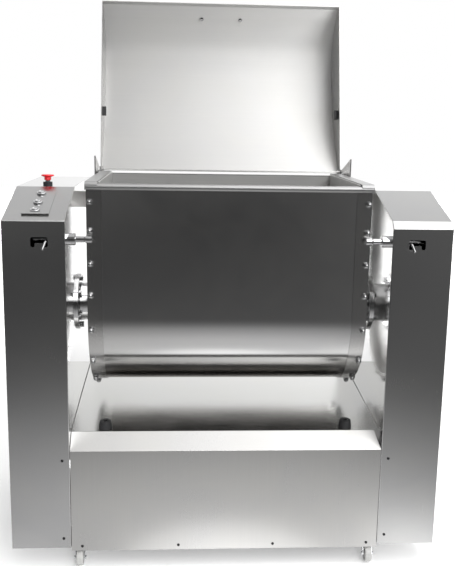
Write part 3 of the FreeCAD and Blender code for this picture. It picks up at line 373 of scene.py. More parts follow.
def add_hex(bm, af, h0, h1, mat, chamfer=0.9, turn=0.0, socket=0.0):
    r = af / math.sqrt(3.0)
    rings = []
    for rr, h in ((r, h0), (r, h1 - chamfer), (r - chamfer * 1.1, h1)):
        rings.append([bm.verts.new(mat @ Vector((rr * math.cos(math.radians(60 * i) + turn), rr * math.sin(math.radians(60 * i) + turn), h))) for i in range(6)])
    for a, b in zip(rings, rings[1:]):
        for i in range(6):
            bm.faces.new((a[i], a[(i + 1) % 6], b[(i + 1) % 6], b[i]))
    bm.faces.new(list(reversed(rings[0])))
    bm.faces.new(rings[-1])


def add_box(bm, x0, x1, y0, y1, z0, z1, bevel=0.0, seg=2):
    x0, x1 = min(x0, x1), max(x0, x1)
    r = bmesh.ops.create_cube(bm, size=1.0)
    for v in r["verts"]:
        v.co = P(x0 + (v.co.x + 0.5) * (x1 - x0), y0 + (v.co.y + 0.5) * (y1 - y0), z0 + (v.co.z + 0.5) * (z1 - z0))
    if bevel:
        es = list({e for v in r["verts"] for e in v.link_edges})
        bmesh.ops.bevel(bm, geom=es, offset=bevel / 1000.0, segments=seg, profile=0.5, affect="EDGES")


def add_tube(bm, pts, r, seg=16, ends=True):
    """Round bar along points (mm), with domed ends."""
    pts = [P(*p) for p in pts]
    r = r / 1000.0
    n = len(pts)
    tan = []
    for i in range(n):
        a = pts[max(0, i - 1)]
        b = pts[min(n - 1, i + 1)]
        tan.append((b - a).normalized())
    u = tan[0].orthogonal().normalized()
    rings = []
    path = []
    if ends:
        for k in (0.0, 0.45, 0.8):
            path.append((pts[0] - tan[0] * r * 0.35 * (1 - k), r * (0.55 + 0.45 * math.sin(k * math.pi / 2)), tan[0]))
    for p, t in zip(pts, tan):
        path.append((p, r, t))
    if ends:
        for k in (0.8, 0.45, 0.0):
            path.append((pts[-1] + tan[-1] * r * 0.35 * (1 - k), r * (0.55 + 0.45 * math.sin(k * math.pi / 2)), tan[-1]))
    for p, rr, t in path:
        u = (u - t * u.dot(t)).normalized()
        w = t.cross(u)
        rings.append([bm.verts.new(p + (u * math.cos(2 * math.pi * i / seg) + w * math.sin(2 * math.pi * i / seg)) * rr) for i in range(seg)])
    for a, b in zip(rings, rings[1:]):
        for i in range(seg):
            j = (i + 1) % seg
            bm.faces.new((a[i], a[j], b[j], b[i]))
    bm.faces.new(list(reversed(rings[0])))
    bm.faces.new(rings[-1])


def add_prism(bm, yz, x0, x1):
    """Closed outline of (y, z) run along X."""
    x0, x1 = min(x0, x1), max(x0, x1)
    a = [bm.verts.new(P(x0, y, z)) for y, z in yz]
    b = [bm.verts.new(P(x1, y, z)) for y, z in yz]
    n = len(yz)
    fs = [bm.faces.new(a), bm.faces.new(list(reversed(b)))]
    for i in range(n):
        j = (i + 1) % n
        fs.append(bm.faces.new((a[j], a[i], b[i], b[j])))
    return a, b, fs


def arc_pts(cy, cz, r, a0, a1, n):
    return [(cy + r * math.cos(math.radians(a0 + (a1 - a0) * i / n)), cz + r * math.sin(math.radians(a0 + (a1 - a0) * i / n))) for i in range(n + 1)]


def rounded(pts, radii, n=4):
    """Closed outline with its corners rounded; radii is a number or one per point."""
    out = []
    m = len(pts)
    for i in range(m):
        r = radii if isinstance(radii, (int, float)) else radii[i]
        p, a, b = Vector(pts[i]), Vector(pts[i - 1]), Vector(pts[(i + 1) % m])
        if r <= 0:
            out.append(tuple(p))
            continue
        u, v = (a - p), (b - p)
        lu, lv = u.length, v.length
        u.normalize()
        v.normalize()
        ang = math.acos(max(-1, min(1, u.dot(v))))
        if ang > math.radians(176):
            out.append(tuple(p))
            continue
        t = min(r / math.tan(ang / 2), lu * 0.49, lv * 0.49)
        rr = t * math.tan(ang / 2)
        c = p + (u + v).normalized() * (rr / math.sin(ang / 2))
        s, e = p + u * t - c, p + v * t - c
        for k in range(n + 1):
            w = s.lerp(e, k / n)
            out.append(tuple(c + w.normalized() * rr))
    return out


def make(name, bm, mat, body, replaces=(), slot=None, sharp=35.0, weighted=False):
    bmesh.ops.recalc_face_normals(bm, faces=bm.faces)
    for f in bm.faces:
        f.smooth = True
    for e in bm.edges:
        if len(e.link_faces) == 2:
            e.smooth = e.calc_face_angle(0.0) < math.radians(sharp)
        else:
            e.smooth = False
    me = bpy.data.meshes.new(name)
    bm.to_mesh(me)
    bm.free()
    o = bpy.data.objects.new(name, me)
    scene.collection.objects.link(o)
    me.materials.append(M[mat] if isinstance(mat, str) else mat)
    if weighted:
        w = o.modifiers.new("normals", "WEIGHTED_NORMAL")
        w.keep_sharp = True
        w.weight = 60
    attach(o, body)
    if replaces:
        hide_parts(*replaces)
    if slot:
        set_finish(o, slot)
    return o


def raw(name, bm):
    me = bpy.data.meshes.new(name)
    bmesh.ops.recalc_face_normals(bm, faces=bm.faces)
    bm.to_mesh(me)
    bm.free()
    o = bpy.data.objects.new(name, me)
    scene.collection.objects.link(o)
    return o


def cut(o, cutters):
    """Cuts other closed meshes out of o and returns the result as a bmesh."""
    for c in cutters:
        md = o.modifiers.new("cut", "BOOLEAN")
        md.operation = "DIFFERENCE"
        md.solver = "EXACT"
        md.object = c
    dg = bpy.context.evaluated_depsgraph_get()
    me = bpy.data.meshes.new_from_object(o.evaluated_get(dg))
    bm = bmesh.new()
    bm.from_mesh(me)
    bpy.data.meshes.remove(me)
    for c in list(cutters) + [o]:
        d = c.data
        bpy.data.objects.remove(c)
        bpy.data.meshes.remove(d)
    bmesh.ops.remove_doubles(bm, verts=bm.verts, dist=1e-6)
    return bm


def bevelled(node, width=0.6, seg=2, angle=40.0, mat=None, suffix="_edged"):
    """The node's own shape with its sharp edges broken, standing for it."""
    src = NODES[node]
    bm = bmesh.new()
    bm.from_mesh(src.data)
    bmesh.ops.remove_doubles(bm, verts=bm.verts, dist=2e-6)
    bmesh.ops.dissolve_limit(bm, angle_limit=math.radians(0.8), verts=bm.verts, edges=bm.edges)
    slot = src["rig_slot"] if "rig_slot" in src else None
    o = make(node + suffix, bm, mat or CAD_MATS[node], src["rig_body"], [node], None, sharp=angle - 6)
    b = o.modifiers.new("edges", "BEVEL")
    b.width = width / 1000.0
    b.segments = seg
    b.limit_method = "ANGLE"
    b.angle_limit = math.radians(angle)
    b.harden_normals = True
    b.use_clamp_overlap = True
    return o


# ------------------------------------------------------------------ camera
cam_data = bpy.data.cameras.new("camera")
cam = bpy.data.objects.new("camera", cam_data)
scene.collection.objects.link(cam)
cam_data.sensor_width = 36.0
cam_data.lens = 52.758
cam_data.clip_end = 100.0
cam_data.clip_start = 0.05
pitch, yaw, roll = math.radians(10.988), math.radians(3.494), math.radians(0.968)
fwd = Vector((math.sin(yaw) * math.cos(pitch), math.cos(yaw) * math.cos(pitch), -math.sin(pitch)))
right0 = Vector((math.cos(yaw), -math.sin(yaw), 0))
up0 = right0.cross(fwd)
right = right0 * math.cos(roll) + up0 * math.sin(roll)
up = -right0 * math.sin(roll) + up0 * math.cos(roll)
loc = P(-151.494, -2354.057, 1346.888)
cam.matrix_world = Matrix(((right.x, up.x, -fwd.x, loc.x), (right.y, up.y, -fwd.y, loc.y), (right.z, up.z, -fwd.z, loc.z), (0, 0, 0, 1)))
scene.camera = cam

# ------------------------------------------------------------------ cabinets
def cabinet(side):
    s = side
    if s < 0:
        prof = [(0, CAB_BOTTOM), (0, CAB_FRONT_TOP)]
        inner = [(2, CAB_BOTTOM - 3), (2, CAB_FRONT_TOP - 1.6)]
    else:
        zc = CAB_FRONT_TOP + SLOPE * CHAMFER
        prof = [(0, CAB_BOTTOM), (0, zc - CHAMFER), (CHAMFER, zc)]
        inner = [(2, CAB_BOTTOM - 3), (2, zc - CHAMFER - 0.9), (CHAMFER + 0.9, zc - 2)]
    prof += [(CAB_SLOPE, CAB_TOP), (CAB_DEPTH, CAB_TOP), (CAB_DEPTH, CAB_BOTTOM)]
    inner += [(CAB_SLOPE + 0.3, CAB_TOP - 2), (CAB_DEPTH + 5, CAB_TOP - 2), (CAB_DEPTH + 5, CAB_BOTTOM - 3)]
    bm = bmesh.new()
    add_prism(bm, prof, s * HALF_G, s * HALF_W)
    # folded edges: every edge but those of the open back and bottom
    es = []
    for e in bm.edges:
        a, b = e.verts[0].co, e.verts[1].co
        ya, yb = a.y * 1000 - YS, b.y * 1000 - YS
        if abs(ya - CAB_DEPTH) < 1 and abs(yb - CAB_DEPTH) < 1:
            continue
        if abs(a.z * 1000 - CAB_BOTTOM) < 1 and abs(b.z * 1000 - CAB_BOTTOM) < 1:
            continue
        es.append(e)
    bmesh.ops.bevel(bm, geom=es, offset=0.0028, segments=4, profile=0.5, affect="EDGES")
    shell = raw("shell", bm)
    bm = bmesh.new()
    add_prism(bm, inner, s * (HALF_G + 2), s * (HALF_W - 2))
    cutters = [raw("hollow", bm)]
    bm = bmesh.new()
    add_lathe(bm, [(0, 0), (65.5, 0), (65.5, 8), (0, 8)], frame_to((s * (HALF_G - 3), AXIS_Y, AXIS_Z), (s, 0, 0)), 64)
    cutters.append(raw("hub_hole", bm))
    bm = bmesh.new()
    add_lathe(bm, [(0, 0), (13, 0), (13, 8), (0, 8)], frame_to((s * (HALF_G - 3), PIN_Y, PIN_Z), (s, 0, 0)), 32)
    cutters.append(raw("pin_hole", bm))
    # two-legged slot for the lock handle
    c = [(520, 989), (532, 989), (532, 1001), (557, 1001), (557, 989), (569, 989), (569, 1018), (520, 1018)]
    c = rounded([(s * x, z) for x, z in c], [5, 5, 2.5, 2.5, 5, 5, 5.5, 5.5], 5)
    bm = bmesh.new()
    a = [bm.verts.new(P(x, -4, z)) for x, z in c]
    b = [bm.verts.new(P(x, 5, z)) for x, z in c]
    bm.faces.new(a)
    bm.faces.new(list(reversed(b)))
    for i in range(len(c)):
        j = (i + 1) % len(c)
        bm.faces.new((a[j], a[i], b[i], b[j]))
    cutters.append(raw("slot", bm))
    if s < 0:
        n = Vector((0, -math.sin(SLOPE_A), math.cos(SLOPE_A)))
        for y in (189.0, 122.0, 65.0):
            bm = bmesh.new()
            add_lathe(bm, [(0, -9), (11.2, -9), (11.2, 6), (0, 6)], frame_to((-564.5, y, CAB_FRONT_TOP + SLOPE * y), n), 32)
            cutters.append(raw("button_hole", bm))
        bm = bmesh.new()
        add_lathe(bm, [(0, -9), (11.2, -9), (11.2, 6), (0, 6)], frame_to((-559.5, 285.0, CAB_TOP), (0, 0, 1)), 32)
        cutters.append(raw("stop_hole", bm))
    bm = cut(shell, cutters)
    tag = "left" if s < 0 else "right"
    return make(tag + "_casing", bm, "cab", "root", [tag + "_cabinet_shell"], "cabinet_steel", sharp=32, weighted=True)


cabinet(-1)
cabinet(1)
bevelled("cabinet_covers", 0.5)
bevelled("cabinet_frames", 1.2)
bevelled("base_frame", 1.2)
bevelled("control_plate", 0.5)
bevelled("rear_panel", 0.6)
bevelled("rear_rail", 1.4)
bevelled("electrical_box", 2.0)
bevelled("gearbox", 0.6)
bevelled("drive_sprocket", 0.4)
bevelled("driven_sprocket", 0.4)
bevelled("switch_blocks", 0.6)
bevelled("lock_keepers", 0.6)
bevelled("hinge_ears", 0.7)
bevelled("spiders", 1.6)

# drip floor: a sheet that rises to the rear, with the slight crown that such a wide sheet takes
bm = bmesh.new()
top = []
for k in range(31):
    y = 49.1 + (634.0 - 49.1) * k / 30
    top.append((y, 419.0 + FLOOR_RISE * (y - 49.0) + 3.3 * math.sin(math.pi * (y - 49.1) / 584.9)))
add_prism(bm, top + [(y, z - 2.0) for y, z in reversed(top)], -PANEL_HALF, PANEL_HALF)
make("drip_floor_sheet", bm, "floor", "root", ["floor_panel"], "panel_steel", sharp=30, weighted=True)

# front panel with its folded ledge
bm = bmesh.new()
prof = [(8, 52), (0, 52), (0, 374), (49, 419), (49, 416.1), (2, 373), (2, 54), (8, 54)]
a, b, fs = add_prism(bm, rounded(prof, [0, 2.2, 3, 2, 0, 2, 1, 0], 3), -PANEL_HALF, PANEL_HALF)
for v in b:
    y, z = v.co.y * 1000 - YS, v.co.z * 1000
    if z > 374.5:
        v.co.x -= 0.0135 * min(1.0, max(0.0, (y - 0.5) / 48.5))
make("front_panel_folded", bm, "panel", "root", ["base_front_panel"], "panel_steel", sharp=30, weighted=True)


# ------------------------------------------------------------------ trough
def u_path(r, top, n=72):
    p = [(AXIS_Y - r, top)]
    k = 12
    for i in range(1, k):
        p.append((AXIS_Y - r, top + (AXIS_Z - top) * i / k))
    p += arc_pts(AXIS_Y, AXIS_Z, r, 180, 360, n)
    for i in range(1, k + 1):
        p.append((AXIS_Y + r, AXIS_Z + (top - AXIS_Z) * i / k))
    return p


def u_sheet(bm, ro, ri, x0, x1, top):
    o, i = u_path(ro, top), u_path(ri, top)
    x0, x1 = min(x0, x1), max(x0, x1)
    rows = []
    for x in (x0, x1):
        rows.append(([bm.verts.new(P(x, y, z)) for y, z in o], [bm.verts.new(P(x, y, z)) for y, z in i]))
    (o0, i0), (o1, i1) = rows
    n = len(o)
    for k in range(n - 1):
        bm.faces.new((o0[k], o0[k + 1], o1[k + 1], o1[k]))
        bm.faces.new((i0[k + 1], i0[k], i1[k], i1[k + 1])).material_index = 1
        bm.faces.new((o0[k + 1], o0[k], i0[k], i0[k + 1]))
        bm.faces.new((o1[k], o1[k + 1], i1[k + 1], i1[k]))
    bm.faces.new((o0[0], o1[0], i1[0], i0[0]))
    bm.faces.new((o0[-1], i0[-1], i1[-1], o1[-1]))


RI = SHELL_R - SHELL_T
bm = bmesh.new()
u_sheet(bm, SHELL_R, RI, -TANK_HALF, TANK_HALF, ROLL_TOP - 3.0)
make("trough_sheet", bm, "tank", "tank", ["tank_shell"], "tank_steel", sharp=30, weighted=True).data.materials.append(M["tank_in"])
bm = bmesh.new()
u_sheet(bm, SHELL_R + BAND_T, SHELL_R, -TANK_HALF, -372.6, RIM_BOTTOM)
u_sheet(bm, SHELL_R + BAND_T, SHELL_R, 372.6, TANK_HALF, RIM_BOTTOM)
for f in bm.faces:
    f.material_index = 0
make("trough_end_bands", bm, "band", "tank", ["end_bands"], "tank_steel", sharp=30, weighted=True)
bevelled("tank_ends", 0.8)

# rim: rolled edges front and rear, flat flanges with skirts over the ends
bm = bmesh.new()
roll = [(56.5, 1165), (56.5, 1167.6), (56.1, 1168)] + arc_pts(41, 1159, 9, 90, 270, 18) + [(53.5, 1150), (53.5, 1152)] + arc_pts(41, 1159, 7, 270, 90, 12) + [(53.5, 1166), (53.5, 1165)]
add_prism(bm, roll, -TANK_HALF, TANK_HALF)
add_prism(bm, [(600 - y, z) for y, z in roll], -TANK_HALF, TANK_HALF)
for s in (-1, 1):
    top = arc_pts(44, 1163, 11.8, 180, 90, 10) + arc_pts(556, 1163, 11.8, 90, 0, 10)
    under = arc_pts(556, 1163, 9.4, 0, 90, 10) + arc_pts(44, 1163, 9.4, 90, 180, 10)
    add_prism(bm, top + under, s * 382.0, s * 418.6)
    add_box(bm, s * 416.6, s * 418.55, 32.4, 567.6, 1150.0, 1164.0)
    add_box(bm, s * 416.6, s * 418.55, 44.0, 556.0, 1164.0, 1172.6)
make("trough_rim", bm, "rim", "tank", ["tank_rim"], "tank_steel", sharp=30, weighted=True)

# ------------------------------------------------------------------ fasteners
STUDS = (346.0, 262.0, 165.0, 71.0, -34.0, -144.0, -253.0, -350.0)


def stud_places(side):
    out, rb = [], SHELL_R + BAND_T
    for s in STUDS:
        for back in (1.0, -1.0):
            if s >= 0:
                y, z, n = -rb, s, (0.0, -1.0, 0.0)
            else:
                a = -s / rb
                y, z, n = -rb * math.cos(a), -rb * math.sin(a), (0.0, -math.cos(a), -math.sin(a))
            out.append(((side * 406.7, AXIS_Y + back * y, AXIS_Z + z), (0.0, back * n[1], n[2])))
    return out


def ring_places(x, pcd, n, phase):
    return [(x, AXIS_Y + pcd / 2 * math.cos(math.radians(phase + 360.0 * i / n)), AXIS_Z + pcd / 2 * math.sin(math.radians(phase + 360.0 * i / n))) for i in range(n)]


def add_hex_bolt(bm, mat, af=17.0, h=7.9, washer=10.0):
    add_lathe(bm, [(washer - 0.4, 0), (washer, 0.3), (washer, 1.2), (washer - 0.4, 1.5), (0, 1.5)], mat, 28)
    add_hex(bm, af, 1.5, h, mat, 1.0)


bm = bmesh.new()
for s in (-1, 1):
    for k, (p, n) in enumerate(stud_places(s)):
        m = frame_to(p, n)
        add_lathe(bm, [(9.0, 0), (9.5, 0.3), (9.5, 1.2), (9.1, 1.5), (7.6, 1.5)], m, 28)
        add_hex(bm, 16.0, 1.5, 8.6, m, 1.0, 0.3 * k)
        dome = [(7.5, 8.2)] + [(7.5 * math.cos(t * math.pi / 2), 8.6 + 7.4 * math.sin(t * math.pi / 2)) for t in (0.0, 0.2, 0.4, 0.6, 0.78, 0.92)] + [(0, 16.1)]
        add_lathe(bm, dome, m, 28)
    for p in ring_places(s * 398.0, 156.0, 6, 0.0):
        add_hex_bolt(bm, frame_to(p, (s, 0, 0)))
make("dome_nuts_and_trunnion_bolts", bm, "nut", "tank", ["tank_bolts"], "fastener_steel", sharp=30)
bm = bmesh.new()
for s in (-1, 1):
    for p in ring_places(s * 463.5, 154.0, 6, 30.0):
        add_hex_bolt(bm, frame_to(p, (-s, 0, 0)))
make("bearing_bolts", bm, "nut", "root", ["housing_bolts"], "fastener_steel", sharp=30)

bm = bmesh.new()
places = [((x, 0, 68.0), (0, -1, 0)) for x in (-438, -145.5, 145.5, 438)]
places += [((s * 493.5, 0, z), (0, -1, 0)) for s in (-1, 1) for z in (94.0, 345.0)]
places += [((s * x, 708.0, z), (0, 1, 0)) for s in (-1, 1) for x in (482.0, 639.0) for z in (90.0, 600.0, 1110.0)]
places += [((x, 708.0, z), (0, 1, 0)) for x in (-440, -147, 147, 440) for z in (80.0, 360.0)]
for p, d in places:
    m = frame_to(p, d)
    add_lathe(bm, [(4.2, 0), (4.2, 1.0), (3.9, 1.7), (3.1, 2.3), (1.9, 2.55), (1.75, 2.5), (1.7, 0.9), (0, 0.7)], m, 24)
for s in (-1, 1):
    m = Matrix.Translation(P(s * 370.0, 74.0, 419.0 + FLOOR_RISE * 25.0)) @ Matrix.Rotation(math.atan(FLOOR_RISE), 4, "X") @ Matrix.Scale(0.001, 4)
    add_lathe(bm, [(0, -6), (3, -6), (3, 14), (5, 14), (5, 18.3), (4.6, 19.0), (2.2, 19.0), (2.0, 17.0), (0, 16.8)], m, 20)
make("panel_screw_heads", bm, "screw", "root", ["panel_screws"], "fastener_steel", sharp=30)

# ------------------------------------------------------------------ trunnions and bearings
bm = bmesh.new()
for s in (-1, 1):
    m = frame_to((0, AXIS_Y, AXIS_Z), (s, 0, 0))
    add_lathe(bm, [(32, 386.2), (94, 386), (95, 387), (95, 396.8), (94, 398), (66, 398), (62.5, 399.5), (61, 402.5), (61, 428), (60.4, 428.6), (60.4, 430.0), (61, 430.6), (61, 461.3), (59.8, 462.5), (45, 462.5), (45, 521), (44, 522), (32, 522)], m, 96, "ring")
    add_lathe(bm, [(45.1, 508), (59, 508), (60, 509), (60, 519), (59, 520), (45.1, 520)], m, 64, "ring")
make("trunnion_hubs", bm, "turned", "tank", ["trunnions"], "machined_steel", sharp=28)
bm = bmesh.new()
for s in (-1, 1):
    m = frame_to((0, AXIS_Y, AXIS_Z), (s, 0, 0))
    add_lathe(bm, [(52, 463.8), (53, 463.5), (88.6, 463.5), (90, 464.9), (90, 471.3), (65, 471.3), (65, 505), (64, 506), (53, 506), (52, 505)], m, 96, "ring")
    add_lathe(bm, [(65.3, 473.7), (82.5, 473.7), (83, 474.3), (83, 481), (82.5, 481.5), (65.3, 481.5)], m, 72, "ring")
make("flanged_housings", bm, "turned", "root", ["bearing_housings"], "machined_steel", sharp=28)
bm = bmesh.new()
for s in (-1, 1):
    m = frame_to((0, AXIS_Y, AXIS_Z), (s, 0, 0))
    for a, b in ((388.2, 417.8), (492.2, 521.6)):
        add_lathe(bm, [(SHAFT_BORE, a + 0.6), (SHAFT_BORE + 0.6, a), (31.4, a), (31.9, a + 0.5), (31.9, b - 0.5), (31.4, b), (SHAFT_BORE + 0.6, b), (SHAFT_BORE, b - 0.6)], m, 96, "ring")
make("round_bushes", bm, "bronze", "tank", ["shaft_bushes"], None, sharp=28)
bm = bmesh.new()
for s in (-1, 1):
    m = frame_to((0, AXIS_Y, AXIS_Z), (s, 0, 0))
    add_lathe(bm, [(SHAFT_BORE, 371.5), (26.6, 370.2), (43.6, 370.2), (44.8, 371.4), (44.8, 385.8), (SHAFT_BORE, 385.8)], m, 96, "ring")
make("round_seals", bm, "rubber", "tank", ["shaft_seals"], None, sharp=28)

# ------------------------------------------------------------------ lid
LU = (math.sin(LEAN), math.cos(LEAN))
LN = (math.cos(LEAN), -math.sin(LEAN))


def lid_pt(s, n):
    return (582.0 + s * LU[0] + n * LN[0], 1179.0 + s * LU[1] + n * LN[1])


OUTER = [(0, 27), (70, 70), (150, 110), (250, 143), (340, 157), (420, 158), (490, 142), (545, 98), (580, 52), (597, 27)]


def vault_curve(points, per=10):
    """Smooth curve through the points: centripetal spline with natural ends."""
    pts = [Vector(p) for p in points]
    ext = [pts[0] * 2 - pts[1]] + pts + [pts[-1] * 2 - pts[-2]]
    out = []
    for i in range(1, len(ext) - 2):
        p0, p1, p2, p3 = ext[i - 1], ext[i], ext[i + 1], ext[i + 2]
        t0 = 0.0
        t1 = t0 + (p1 - p0).length ** 0.5
        t2 = t1 + (p2 - p1).length ** 0.5
        t3 = t2 + (p3 - p2).length ** 0.5
        for k in range(per):
            t = t1 + (t2 - t1) * k / per
            a1 = p0 * ((t1 - t) / (t1 - t0)) + p1 * ((t - t0) / (t1 - t0))
            a2 = p1 * ((t2 - t) / (t2 - t1)) + p2 * ((t - t1) / (t2 - t1))
            a3 = p2 * ((t3 - t) / (t3 - t2)) + p3 * ((t - t2) / (t3 - t2))
            b1 = a1 * ((t2 - t) / (t2 - t0)) + a2 * ((t - t0) / (t2 - t0))
            b2 = a2 * ((t3 - t) / (t3 - t1)) + a3 * ((t - t1) / (t3 - t1))
            out.append(b1 * ((t2 - t) / (t2 - t1)) + b2 * ((t - t1) / (t2 - t1)))
    out.append(pts[-1])
    return out


bevelled("lid_ends", 0.5)
curve = vault_curve(OUTER)
line = [Vector((0.0, 0.0)), Vector((0.0, 12.0)), Vector((0.0, 24.0))] + curve + [Vector((LID_LEN, 24.0)), Vector((LID_LEN, 12.0)), Vector((LID_LEN, 0.0))]
off = []
for i, p in enumerate(line):
    a, b = line[max(0, i - 1)], line[min(len(line) - 1, i + 1)]
    d = (b - a).normalized()
    nrm = Vector((d.y, -d.x))
    k = 2.0
    if 0 < i < len(line) - 1:
        d1, d2 = (p - a).normalized(), (b - p).normalized()
        k = 2.0 / max(0.5, math.cos(d1.angle(d2, 0.0) / 2))
    off.append(p + nrm * k)
XS = [-420.7 + 841.4 * i / 24 for i in range(25)]
bm = bmesh.new()
outer = [[bm.verts.new(P(x, *lid_pt(p.x, p.y))) for x in XS] for p in line]
inner = [[bm.verts.new(P(x, *lid_pt(p.x, p.y))) for x in XS] for p in off]
n = len(line)
for i in range(n - 1):
    for j in range(len(XS) - 1):
        bm.faces.new((outer[i][j], outer[i][j + 1], outer[i + 1][j + 1], outer[i + 1][j]))
        bm.faces.new((inner[i][j + 1], inner[i][j], inner[i + 1][j], inner[i + 1][j + 1]))
for i in range(n - 1):
    bm.faces.new((outer[i][0], outer[i + 1][0], inner[i + 1][0], inner[i][0]))
    bm.faces.new((outer[i + 1][-1], outer[i][-1], inner[i][-1], inner[i + 1][-1]))
for j in range(len(XS) - 1):
    bm.faces.new((outer[0][j + 1], outer[0][j], inner[0][j], inner[0][j + 1]))
    bm.faces.new((outer[-1][j], outer[-1][j + 1], inner[-1][j + 1], inner[-1][j]))
make("lid_sheet", bm, "lid", "lid", ["lid_vault"], "lid_steel", sharp=40, weighted=True)

# ------------------------------------------------------------------ agitator
# (its bars and shafts keep the solids' shapes; the bars' ends are broken)
bevelled("mixing_bars", 0.8)

# ------------------------------------------------------------------ tilt locks
for tag, s in (("left", -1), ("right", 1)):
    m = frame_to((0, PIN_Y, PIN_Z), (s, 0, 0))
    bm = bmesh.new()
    add_lathe(bm, [(0, 418.5), (6.6, 418.5), (9, 421), (9, 507), (12.6, 507), (13, 507.4), (13, 511.6), (12.6, 512), (9, 512), (9, 540), (12.6, 540), (13, 540.4), (13, 544.6), (12.6, 545), (9, 545), (9, 603), (8, 604), (0, 604)], m, 40)
    make("lock_rod_" + tag, bm, "turned", "lock_pin_" + tag, ["lock_pin_" + tag], "machined_steel", sharp=28)
for tag, s in (("left", -1), ("right", 1)):
    bm = bmesh.new()
    m = frame_to((0, PIN_Y, PIN_Z), (s, 0, 0))
    add_lathe(bm, [(9.3, 512.5), (12.5, 512.5), (13, 513), (13, 539), (12.5, 539.5), (9.3, 539.5)], m, 40, "ring")
    pa, pc, pe = Vector((526.0, 28.0, 1005.7)), Vector((526.0, -7.5, 1005.7)), Vector((532.0, -21.0, 986.5))
    u, v = (pa - pc).normalized(), (pe - pc).normalized()
    q0, q1 = pc + u * 6.0, pc + v * 6.0
    bend = [q0 * (1 - t) ** 2 + pc * 2 * t * (1 - t) + q1 * t ** 2 for t in (0.0, 0.2, 0.4, 0.6, 0.8, 1.0)]
    path = [pa, pa.lerp(q0, 0.5)] + bend + [q1.lerp(pe, 0.6), pe + v * 0.8]
    add_tube(bm, [(s * x, y, z) for x, y, z in path], 4.0, 18)
    make("lock_lever_" + tag, bm, "nut", "lock_handle_" + tag, ["lock_handle_" + tag], "machined_steel", sharp=40)
bm = bmesh.new()
for s in (-1, 1):
    m = frame_to((0, PIN_Y, PIN_Z), (s, 0, 0))
    add_lathe(bm, [(9.1, 446.6), (9.8, 446), (16.6, 446), (17.5, 446.9), (17.5, 471.3), (12.9, 471.3), (12.9, 485), (12.2, 486), (9.1, 486)], m, 40, "ring")
    add_box(bm, s * 610.0, s * 616.0, 2.2, 26.5, 986.0, 1030.0, 0.6)
    add_box(bm, s * 610.0, s * 616.0, 45.5, 60.0, 986.0, 1030.0, 0.6)
    add_box(bm, s * 610.0, s * 616.0, 26.5, 45.5, 986.0, 998.5, 0.6)
    add_box(bm, s * 610.0, s * 616.0, 26.5, 45.5, 1017.5, 1030.0, 0.6)
make("lock_guides", bm, "turned", "root", ["lock_sleeves"], "machined_steel", sharp=28)

# ------------------------------------------------------------------ controls
SN = Vector((0, -math.sin(SLOPE_A), math.cos(SLOPE_A)))
for tag, y in (("forward", 189.0), ("reverse", 122.0), ("stop", 65.0)):
    m = frame_to((-564.5, y, CAB_FRONT_TOP + SLOPE * y), SN)
    bm = bmesh.new()
    add_lathe(bm, [(0, -22), (4, -22), (4, -20), (9, -20), (9, 8.0), (8.7, 8.8), (7.9, 9.4), (6.8, 9.5), (6.0, 9.1), (0, 8.7)], m, 40)
    make("push_cap_" + tag, bm, "chrome", "button_" + tag, ["button_" + tag], "polished_steel", sharp=30)
bm = bmesh.new()
for y in (189.0, 122.0, 65.0):
    m = frame_to((-564.5, y, CAB_FRONT_TOP + SLOPE * y), SN)
    add_lathe(bm, [(9.3, -26), (11, -26), (11, 1.5), (13.6, 1.5), (14, 1.9), (14, 4.6), (13.4, 6.0), (12.2, 6.8), (10.8, 7.0), (9.8, 6.6), (9.3, 5.8)], m, 48, "ring")
make("button_rings", bm, "chrome", "root", ["button_bezels"], "polished_steel", sharp=30)
m = frame_to((-559.5, 285.0, CAB_TOP), (0, 0, 1))
bm = bmesh.new()
add_lathe(bm, [(0, 23), (8.3, 23), (8.3, 17.6), (10.1, 17.4), (10.5, 17.8), (10.5, 25.6), (12.5, 27.4), (17.5, 29.4), (19.7, 30.4), (20, 31.4), (19.9, 32.6), (19.0, 33.8), (16.6, 34.8), (13.5, 35.3), (10.0, 35.45), (0, 35.5)], m, 56)
make("stop_mushroom", bm, "red", "estop_head", ["estop_head"], "red_plastic", sharp=50)

# ------------------------------------------------------------------ buffers
bm = bmesh.new()
for s in (-1, 1):
    m = Matrix.Translation(P(s * 370.0, 74.0, 419.0 + FLOOR_RISE * 25.0)) @ Matrix.Rotation(math.atan(FLOOR_RISE), 4, "X") @ Matrix.Scale(0.001, 4)
    add_lathe(bm, [(3.1, 0.2), (19.6, 0.2), (20, 0.8), (19.9, 2.5), (17.4, 21.8), (16.6, 23.6), (15.4, 24.0), (7.0, 24.0), (6.1, 23.2), (6.0, 14.2), (3.1, 14.0)], m, 40, "ring")
make("rubber_buffers", bm, "rubber", "root", ["tank_buffers"], "black_rubber", sharp=40)

# ------------------------------------------------------------------ castors
for tag, x, y in (("front_left", -446.0, 32.0), ("front_right", 446.0, 32.0), ("rear_left", -446.0, 676.0), ("rear_right", 446.0, 676.0)):
    wy = y - 20.0
    m = frame_to((x, wy, 25.0), (1, 0, 0))
    bm = bmesh.new()
    prof = [(4.1, -9.6), (8.6, -9.8), (9.0, -9.2), (9.2, -7.2), (17.6, -7.0), (18.0, -7.6), (18.4, -9.4), (22.6, -9.8), (24.4, -8.4), (25.0, -5.0), (25.0, 5.0), (24.4, 8.4), (22.6, 9.8), (18.4, 9.4), (18.0, 7.6), (17.6, 7.0), (9.2, 7.2), (9.0, 9.2), (8.6, 9.8), (4.1, 9.6)]
    add_lathe(bm, prof, m, 48, "ring")
    make("wheel_" + tag, bm, "wheel", "castor_wheel_" + tag, ["castor_wheel_" + tag], "wheel_plastic", sharp=35)
    bevelled("castor_fork_" + tag, 0.5)

